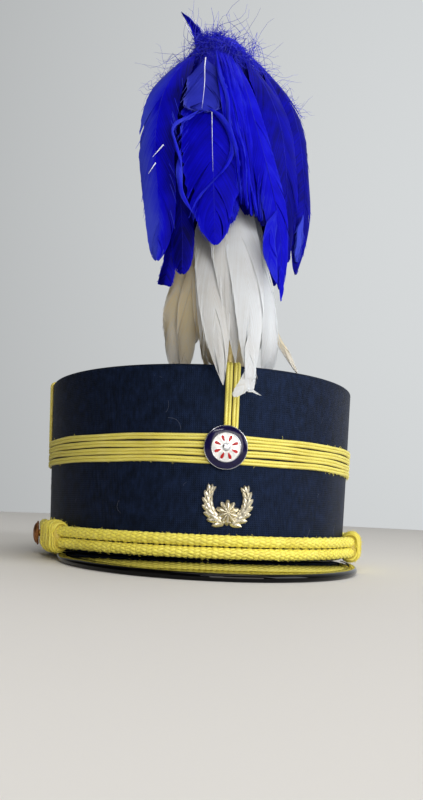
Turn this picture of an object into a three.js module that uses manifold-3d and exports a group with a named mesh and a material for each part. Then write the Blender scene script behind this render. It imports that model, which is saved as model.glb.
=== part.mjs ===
// A plumed band kepi: a stiff navy cloth crown trimmed with yellow soutache, a patent leather peak, a doubled
// chin cord on two gilt buttons, a cockade, a cast wreath badge and a plume of white and blue feathers.
// Millimetres and degrees, +Z up. The front faces -Y. The hat stands on its back rim and the edge of its peak.
import * as THREE from 'three';
import { mergeVertices } from 'three/addons/utils/BufferGeometryUtils.js';
import Module from 'manifold-3d';

const wasm = await Module();
wasm.setup();

// Clear space kept between two pieces that touch on the real hat
const GAP = 0.3;

// Crown: an oval tube of stiffened cloth that leans out towards the top, sized for a 58 cm head
const CROWN = {
  halfWidth: 87,
  halfLength: 105,
  height: 97,
  flare: 3.8,
  wall: 3,
  edgeRound: 1.4,
  topDrop: 0.5,
};
const CROWN_FACETS = 48;

// Peak: sewn under the front of the crown, with a rolled binding along its outer edge
const PEAK = { reach: 36, halfWidth: 82, setForward: 46, rootSpan: 64, tuck: 2.5, thickness: 2.2, arch: 0.8 };
const PEAK_EDGE_DROP = 8.6;
const PEAK_MAX_SLOPE = 0.2;
const PEAK_STEPS = 30;
const BINDING = { radius: 1.9, skin: 0.5, lip: 2.2 };

// The cloth of the back rim is pressed flat by this much where it rests
const RIM_FLAT = 0.35;

// Soutache: a flat braid of two ribs with a groove between them
const SOUTACHE = { width: 3.4, thickness: 1.5, groove: 0.4, spacing: 3.75 };
const BAND = { centre: 54.4, rows: 4 };
const UPRIGHT_OVERLAP = 6.5;

const COCKADE = { angle: -1.6, height: 55.3, facets: 24 };
const WREATH = {
  height: 26.6,
  radius: 9.3,
  rise: 0.6,
  footAngle: -78,
  tipAngle: 46,
  stemSize: 0.6,
  leaves: 6,
  leafLength: 5.2,
  leafWidth: 2.4,
  leafSpread: 36,
  relief: 1.5,
};
const STAR = { radius: 5.2, waist: 3, drop: 2.6, relief: 2.6, points: 8 };

// Chin cord: two runs, one above the other, that meet in a loop round each side button
const CORD = { radius: 2.85, halfSpacing: 3, frontHeight: 6.9, sideRise: 2, standOff: 3.3, sides: 8 };
const WHIP = { angle: 65, length: 18, wall: 1.7, bulge: 0.35, standOff: 5.3, reach: 10 };
const BUTTON = { angle: 88, shankRadius: 2, radius: 7, facets: 20, loopRadius: 5.6 };

// Plume: stands on the crown's top near the front and leans to the viewer's left
const PLUME = { setBack: 94, lean: 3.3, bore: 1.9, whiteTop: 128.7, blueFoot: 129, rodTop: 168 };
const FEATHER = { thickness: 1.8, camber: 0.3, steps: 6 };

const DEGREE = Math.PI / 180;
const FULL_TURN = 2 * Math.PI;
const MERGE_DISTANCE = 1e-4;
const RING_RADIUS = 100;

function finish(color, roughness, metalness = 0) {
  return new THREE.MeshStandardMaterial({ color, roughness, metalness, flatShading: true });
}

const NAVY_CLOTH = finish('#1d2338', 0.9);
const PATENT_LEATHER = finish('#0c0c0e', 0.08);
const YELLOW_BRAID = finish('#d8a534', 0.6);
const GILT = finish('#c6a468', 0.3, 1);
const ENAMEL = finish('#8d93a3', 0.15, 0.6);
const WHITE_FEATHER = finish('#e4e2dd', 0.8);
const BLUE_FEATHER = finish('#2b3f96', 0.7);

// The hat is tipped back so that the peak's edge and the back rim lie in one level plane.
const restPitch = Math.atan(PEAK_EDGE_DROP / (2 * CROWN.halfLength + PEAK.reach));

// Height of that plane over the hat's own base, at a distance y towards the back.
function floorHeight(y) {
  return RIM_FLAT - Math.tan(restPitch) * (CROWN.halfLength - y);
}

// Lifts a point that would lie under the floor up to it, as cloth and leather flatten where they rest.
function onFloor(point) {
  point.z = Math.max(point.z, floorHeight(point.y));
  return point;
}

// A point by the crown's wall: the angle runs from the front to the viewer's right, out is the distance off it.
function wallPoint(angle, z, out) {
  const across = Math.sin(angle);
  const along = -Math.cos(angle);
  const normal = new THREE.Vector2(across / CROWN.halfWidth, along / CROWN.halfLength).normalize();
  const offset = (CROWN.flare * z) / CROWN.height + out;
  const x = CROWN.halfWidth * across + normal.x * offset;
  const y = CROWN.halfLength * along + normal.y * offset;
  return new THREE.Vector3(x, y, z);
}

// Millimetres along the wall for each radian at an angle.
function wallRate(angle) {
  return Math.hypot(CROWN.halfWidth * Math.cos(angle), CROWN.halfLength * Math.sin(angle));
}

// Axes of the wall at an angle: to the viewer's right, up the wall and out of it.
function wallAxes(angle) {
  const right = wallPoint(angle + 1e-3, 0, 0).sub(wallPoint(angle - 1e-3, 0, 0)).normalize();
  const up = wallPoint(angle, CROWN.height, 0).sub(wallPoint(angle, 0, 0)).normalize();
  return new THREE.Matrix4().makeBasis(right, up, right.clone().cross(up));
}

// Drops collapsed triangles and turns all faces outwards.
function facingOut(geometry) {
  const corners = geometry.getAttribute('position');
  const index = geometry.getIndex().array;
  const kept = [];
  const [a, b, c] = [new THREE.Vector3(), new THREE.Vector3(), new THREE.Vector3()];
  let volume = 0;
  for (let i = 0; i < index.length; i += 3) {
    const [p, q, r] = [index[i], index[i + 1], index[i + 2]];
    if (p !== q && q !== r && r !== p) {
      kept.push(p, q, r);
      a.fromBufferAttribute(corners, p);
      b.fromBufferAttribute(corners, q);
      c.fromBufferAttribute(corners, r);
      volume += a.dot(b.cross(c));
    }
  }
  geometry.setIndex(volume < 0 ? kept.reverse() : kept);
  return geometry;
}

// Moves every corner of a geometry to place(x, y, z) and closes the seams.
function bend(geometry, place) {
  geometry.deleteAttribute('normal');
  geometry.deleteAttribute('uv');
  const corners = geometry.getAttribute('position');
  for (let i = 0; i < corners.count; i += 1) {
    const moved = place(corners.getX(i), corners.getY(i), corners.getZ(i));
    corners.setXYZ(i, moved.x, moved.y, moved.z);
  }
  return facingOut(mergeVertices(geometry, MERGE_DISTANCE));
}

function toPoints(outline) {
  return outline.map(([x, y]) => new THREE.Vector2(x, y));
}

// A bar of the given outline, cut into steps and bent by place(x, y, share of its length).
function sweep(outline, steps, place) {
  const shape = new THREE.Shape(toPoints(outline));
  return bend(new THREE.ExtrudeGeometry(shape, { depth: 1, steps, bevelEnabled: false }), place);
}

// A closed ring of the given outline, cut into steps and bent by place(x, y, angle).
function ring(outline, steps, place) {
  const profile = [...outline, outline[0]].map(([x, y]) => [RING_RADIUS + x, y]);
  const lathe = new THREE.LatheGeometry(toPoints(profile), steps);
  return bend(lathe, (x, y, z) => place(Math.hypot(x, z) - RING_RADIUS, y, Math.atan2(x, z)));
}

// A turned piece with its axis along +Z, from a profile of [radius, height] that starts and ends on the axis.
function turned(profile, facets) {
  return bend(new THREE.LatheGeometry(toPoints(profile), facets), (x, y, z) => new THREE.Vector3(x, -z, y));
}

function toSolid(geometry) {
  const vertProperties = new Float32Array(geometry.getAttribute('position').array);
  const triVerts = new Uint32Array(geometry.getIndex().array);
  return new wasm.Manifold(new wasm.Mesh({ numProp: 3, vertProperties, triVerts }));
}

// Joins overlapping geometries into one closed body.
function fuse(geometries) {
  const solid = geometries.map(toSolid).reduce((joined, next) => joined.add(next));
  const mesh = solid.getMesh();
  const fused = new THREE.BufferGeometry();
  fused.setAttribute('position', new THREE.BufferAttribute(mesh.vertProperties, 3));
  fused.setIndex(new THREE.BufferAttribute(mesh.triVerts, 1));
  return fused;
}

function piece(name, geometry, material) {
  const mesh = new THREE.Mesh(geometry, material);
  mesh.name = name;
  return mesh;
}

// Stands a piece on the crown's wall, its own axes to the right, up the wall and out.
function seatOnWall(mesh, angle, z, out) {
  mesh.position.copy(wallPoint(angle, z, out));
  mesh.quaternion.setFromRotationMatrix(wallAxes(angle));
  return mesh;
}

function groupOf(pieces) {
  const group = new THREE.Group();
  group.add(...pieces);
  return group;
}

// Crown

function crownSide() {
  const { height, wall, edgeRound } = CROWN;
  const outline = [
    [-wall, 0],
    [0, 0],
    [0, height - edgeRound],
    [-0.3 * edgeRound, height - 0.3 * edgeRound],
    [-edgeRound, height],
    [-wall, height],
  ];
  return ring(outline, CROWN_FACETS, (out, z, angle) => onFloor(wallPoint(angle, z, out)));
}

function crownTop() {
  const upper = CROWN.height - CROWN.topDrop;
  const lower = upper - CROWN.wall;
  const disc = new THREE.CylinderGeometry(1, 1, CROWN.wall, CROWN_FACETS);
  return bend(disc, (x, y, z) => {
    const edge = wallPoint(Math.atan2(x, z), lower, -CROWN.wall - GAP);
    const share = Math.hypot(x, z);
    return new THREE.Vector3(edge.x * share, edge.y * share, y > 0 ? upper : lower);
  });
}

// Soutache: its outline is [off the wall, across the braid]

function soutacheOutline() {
  const half = SOUTACHE.width / 2;
  const ridge = GAP + SOUTACHE.thickness;
  return [
    [GAP, -half],
    [ridge, -0.58 * half],
    [ridge - SOUTACHE.groove, 0],
    [ridge, 0.58 * half],
    [GAP, half],
  ];
}

function bandBraid(row) {
  const height = BAND.centre + SOUTACHE.spacing * (row - (BAND.rows - 1) / 2);
  return ring(soutacheOutline(), CROWN_FACETS, (out, rise, angle) => wallPoint(angle, height + rise, out));
}

// An upright braid climbs from the band to the top edge, turns over it and ends on the top.
function uprightBraid(angle, side) {
  const { height, edgeRound } = CROWN;
  const foot = BAND.centre + (SOUTACHE.spacing * BAND.rows) / 2 + GAP;
  const shoulder = height - edgeRound;
  const route = [
    { out: 0, z: foot, lean: 0 },
    { out: 0, z: (foot + shoulder) / 2, lean: 0 },
    { out: 0, z: shoulder, lean: 0 },
    { out: -0.3 * edgeRound, z: height - 0.3 * edgeRound, lean: 45 },
    { out: -edgeRound, z: height, lean: 90 },
    { out: -UPRIGHT_OVERLAP, z: height, lean: 90 },
  ];
  const lastStop = route.length - 1;
  return sweep(soutacheOutline(), lastStop, (off, across, share) => {
    const stop = route[Math.round(share * lastStop)];
    const aside = (across + (side * SOUTACHE.spacing) / 2) / wallRate(angle);
    const lean = stop.lean * DEGREE;
    return wallPoint(angle + aside, stop.z + off * Math.sin(lean), stop.out + off * Math.cos(lean));
  });
}

// Peak

// The peak's outer edge is half an oval. This gives one cut across the peak, from its root to its edge,
// at a share of the way from its left end to its right end.
function peakCut(share) {
  const side = 2 * share - 1;
  const turn = (side * Math.PI) / 2;
  const halfLength = CROWN.halfLength + PEAK.reach - PEAK.setForward;
  const [across, along] = [Math.sin(turn), -Math.cos(turn)];
  const outer = new THREE.Vector3(PEAK.halfWidth * across, halfLength * along - PEAK.setForward, 0);
  const normal = new THREE.Vector3(across / PEAK.halfWidth, along / halfLength, 0).normalize();
  const root = wallPoint(side * PEAK.rootSpan * DEGREE, 0, -PEAK.tuck);
  const boardEnd = outer.clone().addScaledVector(normal, -BINDING.radius - GAP);
  const length = root.distanceTo(boardEnd);
  const edgeHeight = floorHeight(outer.y) + BINDING.radius;
  const rootHeight = Math.min(-GAP - PEAK.thickness / 2, edgeHeight + PEAK_MAX_SLOPE * length);
  const arch = (PEAK.arch * length) / PEAK.reach;
  const slope = (edgeHeight - rootHeight - 4 * arch) / length;
  return { outer, normal, root, boardEnd, rootHeight, edgeHeight, arch, slope };
}

function peakBoard() {
  const stops = [0, 0.3, 0.65, 1];
  const outline = [...stops.map((u) => [u, -1]), ...[...stops].reverse().map((u) => [u, 1])];
  return sweep(outline, PEAK_STEPS, (u, side, share) => {
    const cut = peakCut(share);
    const point = cut.root.clone().lerp(cut.boardEnd, u);
    const middle = cut.rootHeight + u * (cut.edgeHeight - cut.rootHeight) + 4 * cut.arch * u * (1 - u);
    point.z = middle + (side * PEAK.thickness) / 2;
    return point;
  });
}

// The binding wraps the board's edge: its outline is [outwards, up] from the middle of its round front.
function peakBinding() {
  const { radius, skin, lip } = BINDING;
  const inside = radius - skin;
  const outline = [
    [-lip, radius],
    [0.4 * radius, radius],
    [radius, 0.4 * radius],
    [radius, -0.4 * radius],
    [0.4 * radius, -radius],
    [-lip, -radius],
    [-lip, -inside],
    [0, -inside],
    [0, inside],
    [-lip, inside],
  ];
  return sweep(outline, PEAK_STEPS, (x, y, share) => {
    const cut = peakCut(share);
    const point = cut.outer.clone().addScaledVector(cut.normal, x - radius);
    point.z = cut.edgeHeight + y + cut.slope * Math.min(x, 0);
    return onFloor(point);
  });
}

// Badges: their outlines are seen from the front, with the height off a flat back

function cockade() {
  const profile = [
    [0, 0],
    [10.8, 0],
    [11.1, 0.9],
    [10.6, 1.7],
    [10, 1.5],
    [7.6, 2],
    [7.3, 2.4],
    [6.9, 2.2],
    [3.4, 2.7],
    [2.9, 3.1],
    [0, 3.4],
  ];
  return turned(profile, COCKADE.facets);
}

// A pointed leaf with a raised midrib, its tip along +Y.
function leaf(length, width, height) {
  const cone = new THREE.ConeGeometry(1, height, 4);
  return bend(cone, (x, y, z) => new THREE.Vector3((x * width) / 2, (-z * length) / 2, y + height / 2));
}

// One branch of the wreath climbs from the foot round to an open top, with leaves on both sides of its stem.
function wreathBranch(side) {
  const { radius, rise, footAngle, tipAngle, stemSize, leaves, leafLength, leafSpread } = WREATH;
  const diamond = [
    [stemSize, 0],
    [0, stemSize],
    [-stemSize, 0],
    [0, -stemSize],
  ];
  const onArc = (share, out) => {
    const angle = (footAngle + share * (tipAngle - footAngle)) * DEGREE;
    return [side * (radius + out) * Math.cos(angle), rise + (radius + out) * Math.sin(angle)];
  };
  const stem = sweep(diamond, 8, (x, y, share) => new THREE.Vector3(...onArc(share, x), y + stemSize));
  const parts = [stem];
  for (let i = 0; i < leaves; i += 1) {
    const share = (i + 0.5) / leaves;
    const [x, y] = onArc(share, 0);
    const climb = footAngle + share * (tipAngle - footAngle);
    const spreads = i === leaves - 1 ? [-leafSpread, 0, leafSpread] : [-leafSpread, leafSpread];
    for (const spread of spreads) {
      const blade = leaf(leafLength, WREATH.leafWidth, WREATH.relief);
      blade.translate(0, 0.42 * leafLength, 0);
      blade.rotateZ(side * (climb - spread) * DEGREE);
      blade.translate(x, y, 0);
      parts.push(blade);
    }
  }
  return parts;
}

// A pointed star whose ridges fall from a raised middle.
function star() {
  const corners = 2 * STAR.points;
  const cone = new THREE.ConeGeometry(STAR.radius, STAR.relief, corners);
  const rays = bend(cone, (x, y, z) => {
    const corner = Math.round((Math.atan2(x, z) / FULL_TURN) * corners);
    const size = corner % 2 === 0 ? 1 : STAR.waist / STAR.radius;
    return new THREE.Vector3(x * size, -z * size, y + STAR.relief / 2);
  });
  rays.translate(0, -STAR.drop, 0);
  return rays;
}

function wreathBadge() {
  return fuse([...wreathBranch(-1), ...wreathBranch(1), star()]);
}

// Chin cord

function cordHeight(angle) {
  const share = angle / (BUTTON.angle * DEGREE);
  return CORD.frontHeight + CORD.sideRise * share * share;
}

// The cord stands further off the wall where a whip goes round it.
function cordStandOff(angle) {
  const distance = (Math.abs(angle) / DEGREE - WHIP.angle) / WHIP.reach;
  return CORD.standOff + (WHIP.standOff - CORD.standOff) * Math.exp(-(distance ** 4));
}

// The route runs along the upper run to the right button, round it, back below, and round the left button.
function cordRoute() {
  const runStops = [0, 14, 28, 42, 52, 60, 70, 79];
  const loopStops = [125, 65, 0, -65, -125];
  const along = (degrees, up) => {
    const angle = degrees * DEGREE;
    return wallPoint(angle, cordHeight(angle) + up * CORD.halfSpacing, cordStandOff(angle));
  };
  const round = (side, turn) => {
    const button = side * BUTTON.angle * DEGREE;
    const aside = (BUTTON.loopRadius * Math.cos(turn * DEGREE)) / wallRate(button);
    const height = cordHeight(button) + BUTTON.loopRadius * Math.sin(turn * DEGREE);
    return wallPoint(button + side * aside, height, CORD.standOff);
  };
  const backwards = [...runStops].reverse();
  const points = [
    ...runStops.map((stop) => along(stop, 1)),
    ...loopStops.map((turn) => round(1, turn)),
    ...backwards.map((stop) => along(stop, -1)),
    ...runStops.slice(1).map((stop) => along(-stop, -1)),
    ...[...loopStops].reverse().map((turn) => round(-1, turn)),
    ...backwards.slice(0, -1).map((stop) => along(-stop, 1)),
  ];
  return new THREE.CatmullRomCurve3(points, true);
}

function chinCord() {
  const route = cordRoute();
  const steps = 2 * route.points.length;
  const turns = [...Array(CORD.sides).keys()].map((i) => (i / CORD.sides) * FULL_TURN);
  const outline = turns.map((turn) => [CORD.radius * Math.cos(turn), CORD.radius * Math.sin(turn)]);
  return ring(outline, steps, (x, y, angle) => {
    const share = ((angle + FULL_TURN) % FULL_TURN) / FULL_TURN;
    const centre = route.getPoint(share);
    const forward = route.getTangent(share);
    const wallAngle = Math.atan2(centre.x / CROWN.halfWidth, -centre.y / CROWN.halfLength);
    const off = new THREE.Vector3().setFromMatrixColumn(wallAxes(wallAngle), 2);
    const side = forward.clone().cross(off).normalize();
    const outward = side.clone().cross(forward);
    return centre.addScaledVector(outward, x).addScaledVector(side, y);
  });
}

// A whip is a wound sleeve round both runs: its outline is [thickness, along the cord].
function cordWhip(side) {
  const inner = CORD.radius + GAP;
  const half = WHIP.length / 2;
  const middle = side * WHIP.angle * DEGREE;
  const outline = [
    [inner, -half],
    [inner, 0],
    [inner, half],
    [inner + 0.7 * WHIP.wall, half],
    [inner + WHIP.wall, 0.8 * half],
    [inner + WHIP.wall + WHIP.bulge, 0],
    [inner + WHIP.wall, -0.8 * half],
    [inner + 0.7 * WHIP.wall, -half],
  ];
  const steps = 12;
  return ring(outline, steps, (radius, along, turn) => {
    const around = turn + Math.PI / steps;
    const angle = middle + along / wallRate(middle);
    const up = radius * Math.sin(around) + Math.sign(Math.sin(around)) * CORD.halfSpacing;
    return wallPoint(angle, cordHeight(angle) + up, WHIP.standOff + radius * Math.cos(around));
  });
}

function sideButton() {
  const headBack = CORD.standOff + CORD.radius + GAP;
  const { radius, shankRadius } = BUTTON;
  const profile = [
    [0, GAP],
    [shankRadius, GAP],
    [shankRadius, headBack],
    [0.94 * radius, headBack],
    [radius, headBack + 0.6],
    [0.86 * radius, headBack + 1.9],
    [0.5 * radius, headBack + 3],
    [0, headBack + 3.4],
  ];
  return turned(profile, BUTTON.facets);
}

// Plume: heights are measured up its own axis from its foot, azimuths from the front to the viewer's right

// A gilt foot, a flared socket and the rod that carries both tiers of feathers.
const SOCKET_TOP = 15;

function plumeStem() {
  const rod = PLUME.bore - GAP;
  const profile = [
    [0, 0],
    [5, 0],
    [5, 1.2],
    [2.6, 2.6],
    [3.2, 7],
    [5, 14],
    [5, SOCKET_TOP],
    [rod, SOCKET_TOP],
    [rod, PLUME.rodTop],
    [0, PLUME.rodTop],
  ];
  return turned(profile, 12);
}

// A feather is a thin cambered vane along a curve of [radius, height], wide in the middle and round at its tip.
// Twist turns its face away from the axis, and drift carries its tip round the axis.
function feather(curve, row) {
  const outline = [
    [-1, 0],
    [0, 0.5],
    [1, 0],
    [0, -0.5],
  ];
  return sweep(outline, FEATHER.steps, (x, y, share) => {
    const [place, forward] = [curve.getPoint(share), curve.getTangent(share)];
    const azimuth = (row.azimuth + (row.drift ?? 0) * share * share) * DEGREE;
    const twist = (row.twist ?? 0) * DEGREE;
    const radial = new THREE.Vector3(Math.sin(azimuth), -Math.cos(azimuth), 0);
    const around = new THREE.Vector3(Math.cos(azimuth), Math.sin(azimuth), 0);
    const outward = radial.clone().multiplyScalar(-forward.y);
    outward.z = forward.x;
    const lateral = around.clone().multiplyScalar(Math.cos(twist)).addScaledVector(outward, Math.sin(twist));
    const face = outward.clone().multiplyScalar(Math.cos(twist)).addScaledVector(around, -Math.sin(twist));
    const root = 1 - 0.85 * (1 - share) ** 3;
    const tip = Math.sqrt(Math.max(1 - share ** (row.blunt ?? 6), 0.004));
    const halfWidth = (row.width / 2) * root * tip;
    const lift = y * FEATHER.thickness - FEATHER.camber * halfWidth * x * x;
    const point = radial.multiplyScalar(place.x);
    point.z = place.y;
    return point.addScaledVector(lateral, x * halfWidth).addScaledVector(face, lift);
  });
}

function curveOf(stops) {
  return new THREE.CubicBezierCurve(...toPoints(stops));
}

// Blue feathers fall from the head: each row says where one lies and how far it hangs.
const BLUE_ROWS = [
  { azimuth: -80, belly: 41, tipRadius: 35, tipHeight: 57, width: 20, twist: -65 },
  { azimuth: -74, belly: 29, tipRadius: 26, tipHeight: 74, width: 24 },
  { azimuth: -98, belly: 33, tipRadius: 31, tipHeight: 44, width: 19, twist: -70 },
  { azimuth: -48, belly: 34, tipRadius: 31, tipHeight: 92, width: 20, twist: -20 },
  { azimuth: -19, belly: 40, tipRadius: 35, tipHeight: 56, width: 30 },
  { azimuth: -33, belly: 36, tipRadius: 42, tipHeight: 130, width: 23, twist: -12 },
  { azimuth: 9, belly: 37, tipRadius: 33, tipHeight: 71, width: 22 },
  { azimuth: 28, belly: 33, tipRadius: 29, tipHeight: 86, width: 20, twist: 10 },
  { azimuth: 48, belly: 36, tipRadius: 32, tipHeight: 35, width: 21, twist: 22, blunt: 3 },
  { azimuth: 80, belly: 44, tipRadius: 35, tipHeight: 54, width: 20, twist: 60 },
  { azimuth: 92, belly: 30, tipRadius: 27, tipHeight: 62, width: 26 },
  { azimuth: 116, belly: 38, tipRadius: 34, tipHeight: 50, width: 22, twist: 20 },
  { azimuth: 148, belly: 39, tipRadius: 35, tipHeight: 60, width: 24 },
  { azimuth: 180, belly: 40, tipRadius: 36, tipHeight: 50, width: 26 },
  { azimuth: -150, belly: 39, tipRadius: 35, tipHeight: 62, width: 24 },
  { azimuth: -122, belly: 38, tipRadius: 34, tipHeight: 50, width: 22, twist: -15 },
];
const UPRIGHT_TIP = { azimuth: -88, width: 6, twist: -60, blunt: 2 };

function plumeBlue() {
  const { bore, blueFoot, rodTop } = PLUME;
  const head = turned(
    [
      [0, rodTop + GAP],
      [bore, rodTop + GAP],
      [bore, blueFoot],
      [6, blueFoot],
      [11, 147],
      [16, 162],
      [16, 172],
      [11, 182],
      [0, 187.5],
    ],
    14,
  );
  const rootHeight = 168;
  const falling = BLUE_ROWS.map((row) => {
    const fall = rootHeight - row.tipHeight;
    const stops = [
      [4, rootHeight],
      [0.95 * row.belly, rootHeight + 6],
      [row.belly, row.tipHeight + 0.43 * fall],
      [row.tipRadius, row.tipHeight],
    ];
    return feather(curveOf(stops), row);
  });
  const upright = feather(
    curveOf([
      [5, 172],
      [11, 179],
      [16, 185],
      [24, 196],
    ]),
    UPRIGHT_TIP,
  );
  return fuse([head, upright, ...falling]);
}

// White feathers leave their sleeve under the blue ones, and the front ones hang past the crown's edge.
const WHITE_ROWS = [
  { azimuth: -12, belly: 27, tipRadius: 23, tipHeight: -12, width: 17, drift: 10, blunt: 3 },
  { azimuth: 18, belly: 28, tipRadius: 24, tipHeight: -18, width: 15, drift: -8, blunt: 3 },
  { azimuth: -42, belly: 26, tipRadius: 25, tipHeight: 6, width: 17, twist: -15, blunt: 4 },
  { azimuth: 46, belly: 26, tipRadius: 25, tipHeight: 7, width: 16, twist: 15, blunt: 4 },
  { azimuth: -74, belly: 27, tipRadius: 29, tipHeight: 8, width: 18, twist: -35, blunt: 4 },
  { azimuth: -114, belly: 29, tipRadius: 34, tipHeight: 5, width: 20, twist: -55, blunt: 4 },
  { azimuth: 84, belly: 20, tipRadius: 38, tipHeight: 4, width: 8, twist: 50, blunt: 3 },
  { azimuth: 112, belly: 26, tipRadius: 26, tipHeight: 7, width: 18, twist: 20, blunt: 4 },
  { azimuth: 146, belly: 27, tipRadius: 28, tipHeight: 5, width: 20, blunt: 4 },
  { azimuth: 180, belly: 28, tipRadius: 29, tipHeight: 7, width: 20, blunt: 4 },
  { azimuth: -146, belly: 27, tipRadius: 28, tipHeight: 5, width: 20, blunt: 4 },
];

function plumeWhite() {
  const { bore, whiteTop } = PLUME;
  const foot = SOCKET_TOP + GAP;
  const sleeveOutline = [
    [bore, foot],
    [5, foot],
    [7, 40],
    [7.5, 82],
    [4.5, whiteTop],
    [bore, whiteTop],
  ];
  const sleeve = ring(sleeveOutline, 16, (radius, height, angle) => {
    return new THREE.Vector3(radius * Math.sin(angle), -radius * Math.cos(angle), height);
  });
  const rootHeight = 80;
  const feathers = WHITE_ROWS.map((row) => {
    const fall = rootHeight - row.tipHeight;
    const stops = [
      [5, rootHeight],
      [0.6 * row.belly, rootHeight + 4],
      [row.belly, row.tipHeight + 0.5 * fall],
      [row.tipRadius, row.tipHeight],
    ];
    return feather(curveOf(stops), row);
  });
  return fuse([sleeve, ...feathers]);
}

// Assembly

function crownGroup() {
  return groupOf([piece('crown_side', crownSide(), NAVY_CLOTH), piece('crown_top', crownTop(), NAVY_CLOTH)]);
}

function braidGroup() {
  const group = new THREE.Group();
  for (let row = 0; row < BAND.rows; row += 1) {
    group.add(piece(`band_braid_${row + 1}`, bandBraid(row), YELLOW_BRAID));
  }
  const uprights = [
    { name: 'front_braid_left', degrees: 0, side: -1 },
    { name: 'front_braid_right', degrees: 0, side: 1 },
    { name: 'left_braid_front', degrees: -90, side: 1 },
    { name: 'left_braid_back', degrees: -90, side: -1 },
    { name: 'right_braid_front', degrees: 90, side: -1 },
    { name: 'right_braid_back', degrees: 90, side: 1 },
  ];
  for (const { name, degrees, side } of uprights) {
    group.add(piece(name, uprightBraid(degrees * DEGREE, side), YELLOW_BRAID));
  }
  return group;
}

function peakGroup() {
  return groupOf([
    piece('peak', peakBoard(), PATENT_LEATHER),
    piece('peak_binding', peakBinding(), PATENT_LEATHER),
  ]);
}

function badgeGroup() {
  const overBand = GAP + SOUTACHE.thickness + GAP;
  const disc = piece('cockade', cockade(), ENAMEL);
  const wreath = piece('wreath_badge', wreathBadge(), GILT);
  return groupOf([
    seatOnWall(disc, COCKADE.angle * DEGREE, COCKADE.height, overBand),
    seatOnWall(wreath, 0, WREATH.height, GAP),
  ]);
}

function cordGroup() {
  const group = groupOf([piece('chin_cord', chinCord(), YELLOW_BRAID)]);
  for (const [hand, side] of [['left', -1], ['right', 1]]) {
    const buttonAngle = side * BUTTON.angle * DEGREE;
    const button = piece(`side_button_${hand}`, sideButton(), GILT);
    group.add(seatOnWall(button, buttonAngle, cordHeight(buttonAngle), 0));
    group.add(piece(`cord_whip_${hand}`, cordWhip(side), YELLOW_BRAID));
  }
  return group;
}

function plumeGroup() {
  const group = groupOf([
    piece('plume_stem', plumeStem(), GILT),
    piece('plume_white', plumeWhite(), WHITE_FEATHER),
    piece('plume_blue', plumeBlue(), BLUE_FEATHER),
  ]);
  group.position.set(0, -PLUME.setBack, CROWN.height - CROWN.topDrop + GAP);
  group.rotation.y = -PLUME.lean * DEGREE;
  return group;
}

// Tips the hat back onto its rim and puts the origin under the middle of its length.
function standOnFloor(hat) {
  const turn = new THREE.Matrix4().makeRotationX(-restPitch);
  const front = wallPoint(0, 0, PEAK.reach).setZ(-PEAK_EDGE_DROP).applyMatrix4(turn);
  const back = wallPoint(Math.PI, CROWN.height, 0).applyMatrix4(turn);
  const rim = new THREE.Vector3(0, CROWN.halfLength, floorHeight(CROWN.halfLength)).applyMatrix4(turn);
  hat.rotation.x = -restPitch;
  hat.position.set(0, -(front.y + back.y) / 2, -rim.z);
  return hat;
}

const kepi = standOnFloor(
  groupOf([crownGroup(), braidGroup(), peakGroup(), badgeGroup(), cordGroup(), plumeGroup()]),
);

export default kepi;
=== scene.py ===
"""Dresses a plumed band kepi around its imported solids: cloth, braid, cord, leather, badges and feathers.

Sizes are millimetres and degrees in the hat's own frame, where the crown's base lies at height 0, the front
faces -Y and the viewer's right is +X. HatForm.to_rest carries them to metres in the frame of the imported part,
where the hat is tipped back onto the edge of its peak and its back rim.
"""

import logging
import math
from dataclasses import dataclass, replace
from enum import Enum

import bpy
import numpy as np
from mathutils import Matrix


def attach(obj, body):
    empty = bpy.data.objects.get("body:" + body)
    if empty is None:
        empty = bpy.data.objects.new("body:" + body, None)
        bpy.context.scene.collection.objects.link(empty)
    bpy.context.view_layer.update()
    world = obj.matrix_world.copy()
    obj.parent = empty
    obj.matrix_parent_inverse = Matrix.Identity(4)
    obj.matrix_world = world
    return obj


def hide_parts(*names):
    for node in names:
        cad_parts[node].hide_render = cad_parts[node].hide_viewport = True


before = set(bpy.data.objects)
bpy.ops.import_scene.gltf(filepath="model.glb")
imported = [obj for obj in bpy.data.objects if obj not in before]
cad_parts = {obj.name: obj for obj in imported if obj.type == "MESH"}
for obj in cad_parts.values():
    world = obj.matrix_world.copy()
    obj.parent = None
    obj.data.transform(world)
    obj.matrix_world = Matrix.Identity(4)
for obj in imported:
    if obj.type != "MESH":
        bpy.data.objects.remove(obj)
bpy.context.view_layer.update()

LOG = logging.getLogger("kepi")
MM = 0.001
FULL_TURN = 2.0 * math.pi
UP = (0.0, 0.0, 1.0)
Array = np.ndarray
Colour = tuple[float, float, float, float]
Triple = tuple[float, float, float]
Point = tuple[float, float]
Random = np.random.Generator
Socket = bpy.types.NodeSocket

# Sockets of the Mix node when it mixes colours
MIX_A = 6
MIX_B = 7
MIX_RESULT = 2

# Names of the flat place, in millimetres, and of the tone that each mesh carries for its finish
PLACE_LAYER = "place_mm"
TONE_LAYER = "tone"

# A wave texture of scale 1 repeats after this distance
WAVE_PERIOD = math.pi / 10.0


class Slot(Enum):
    """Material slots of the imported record."""

    CLOTH = "navy_cloth"
    LEATHER = "patent_leather"
    BRAID = "yellow_braid"
    CORD = "yellow_cord"
    GILT = "gilt_metal"
    ENAMEL = "enamelled_metal"
    WHITE_FEATHER = "white_feather"
    BLUE_FEATHER = "blue_feather"


class Side(Enum):
    """The wearer's two sides as the viewer sees them."""

    LEFT = -1
    RIGHT = 1


# Nodes and finishes


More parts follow.
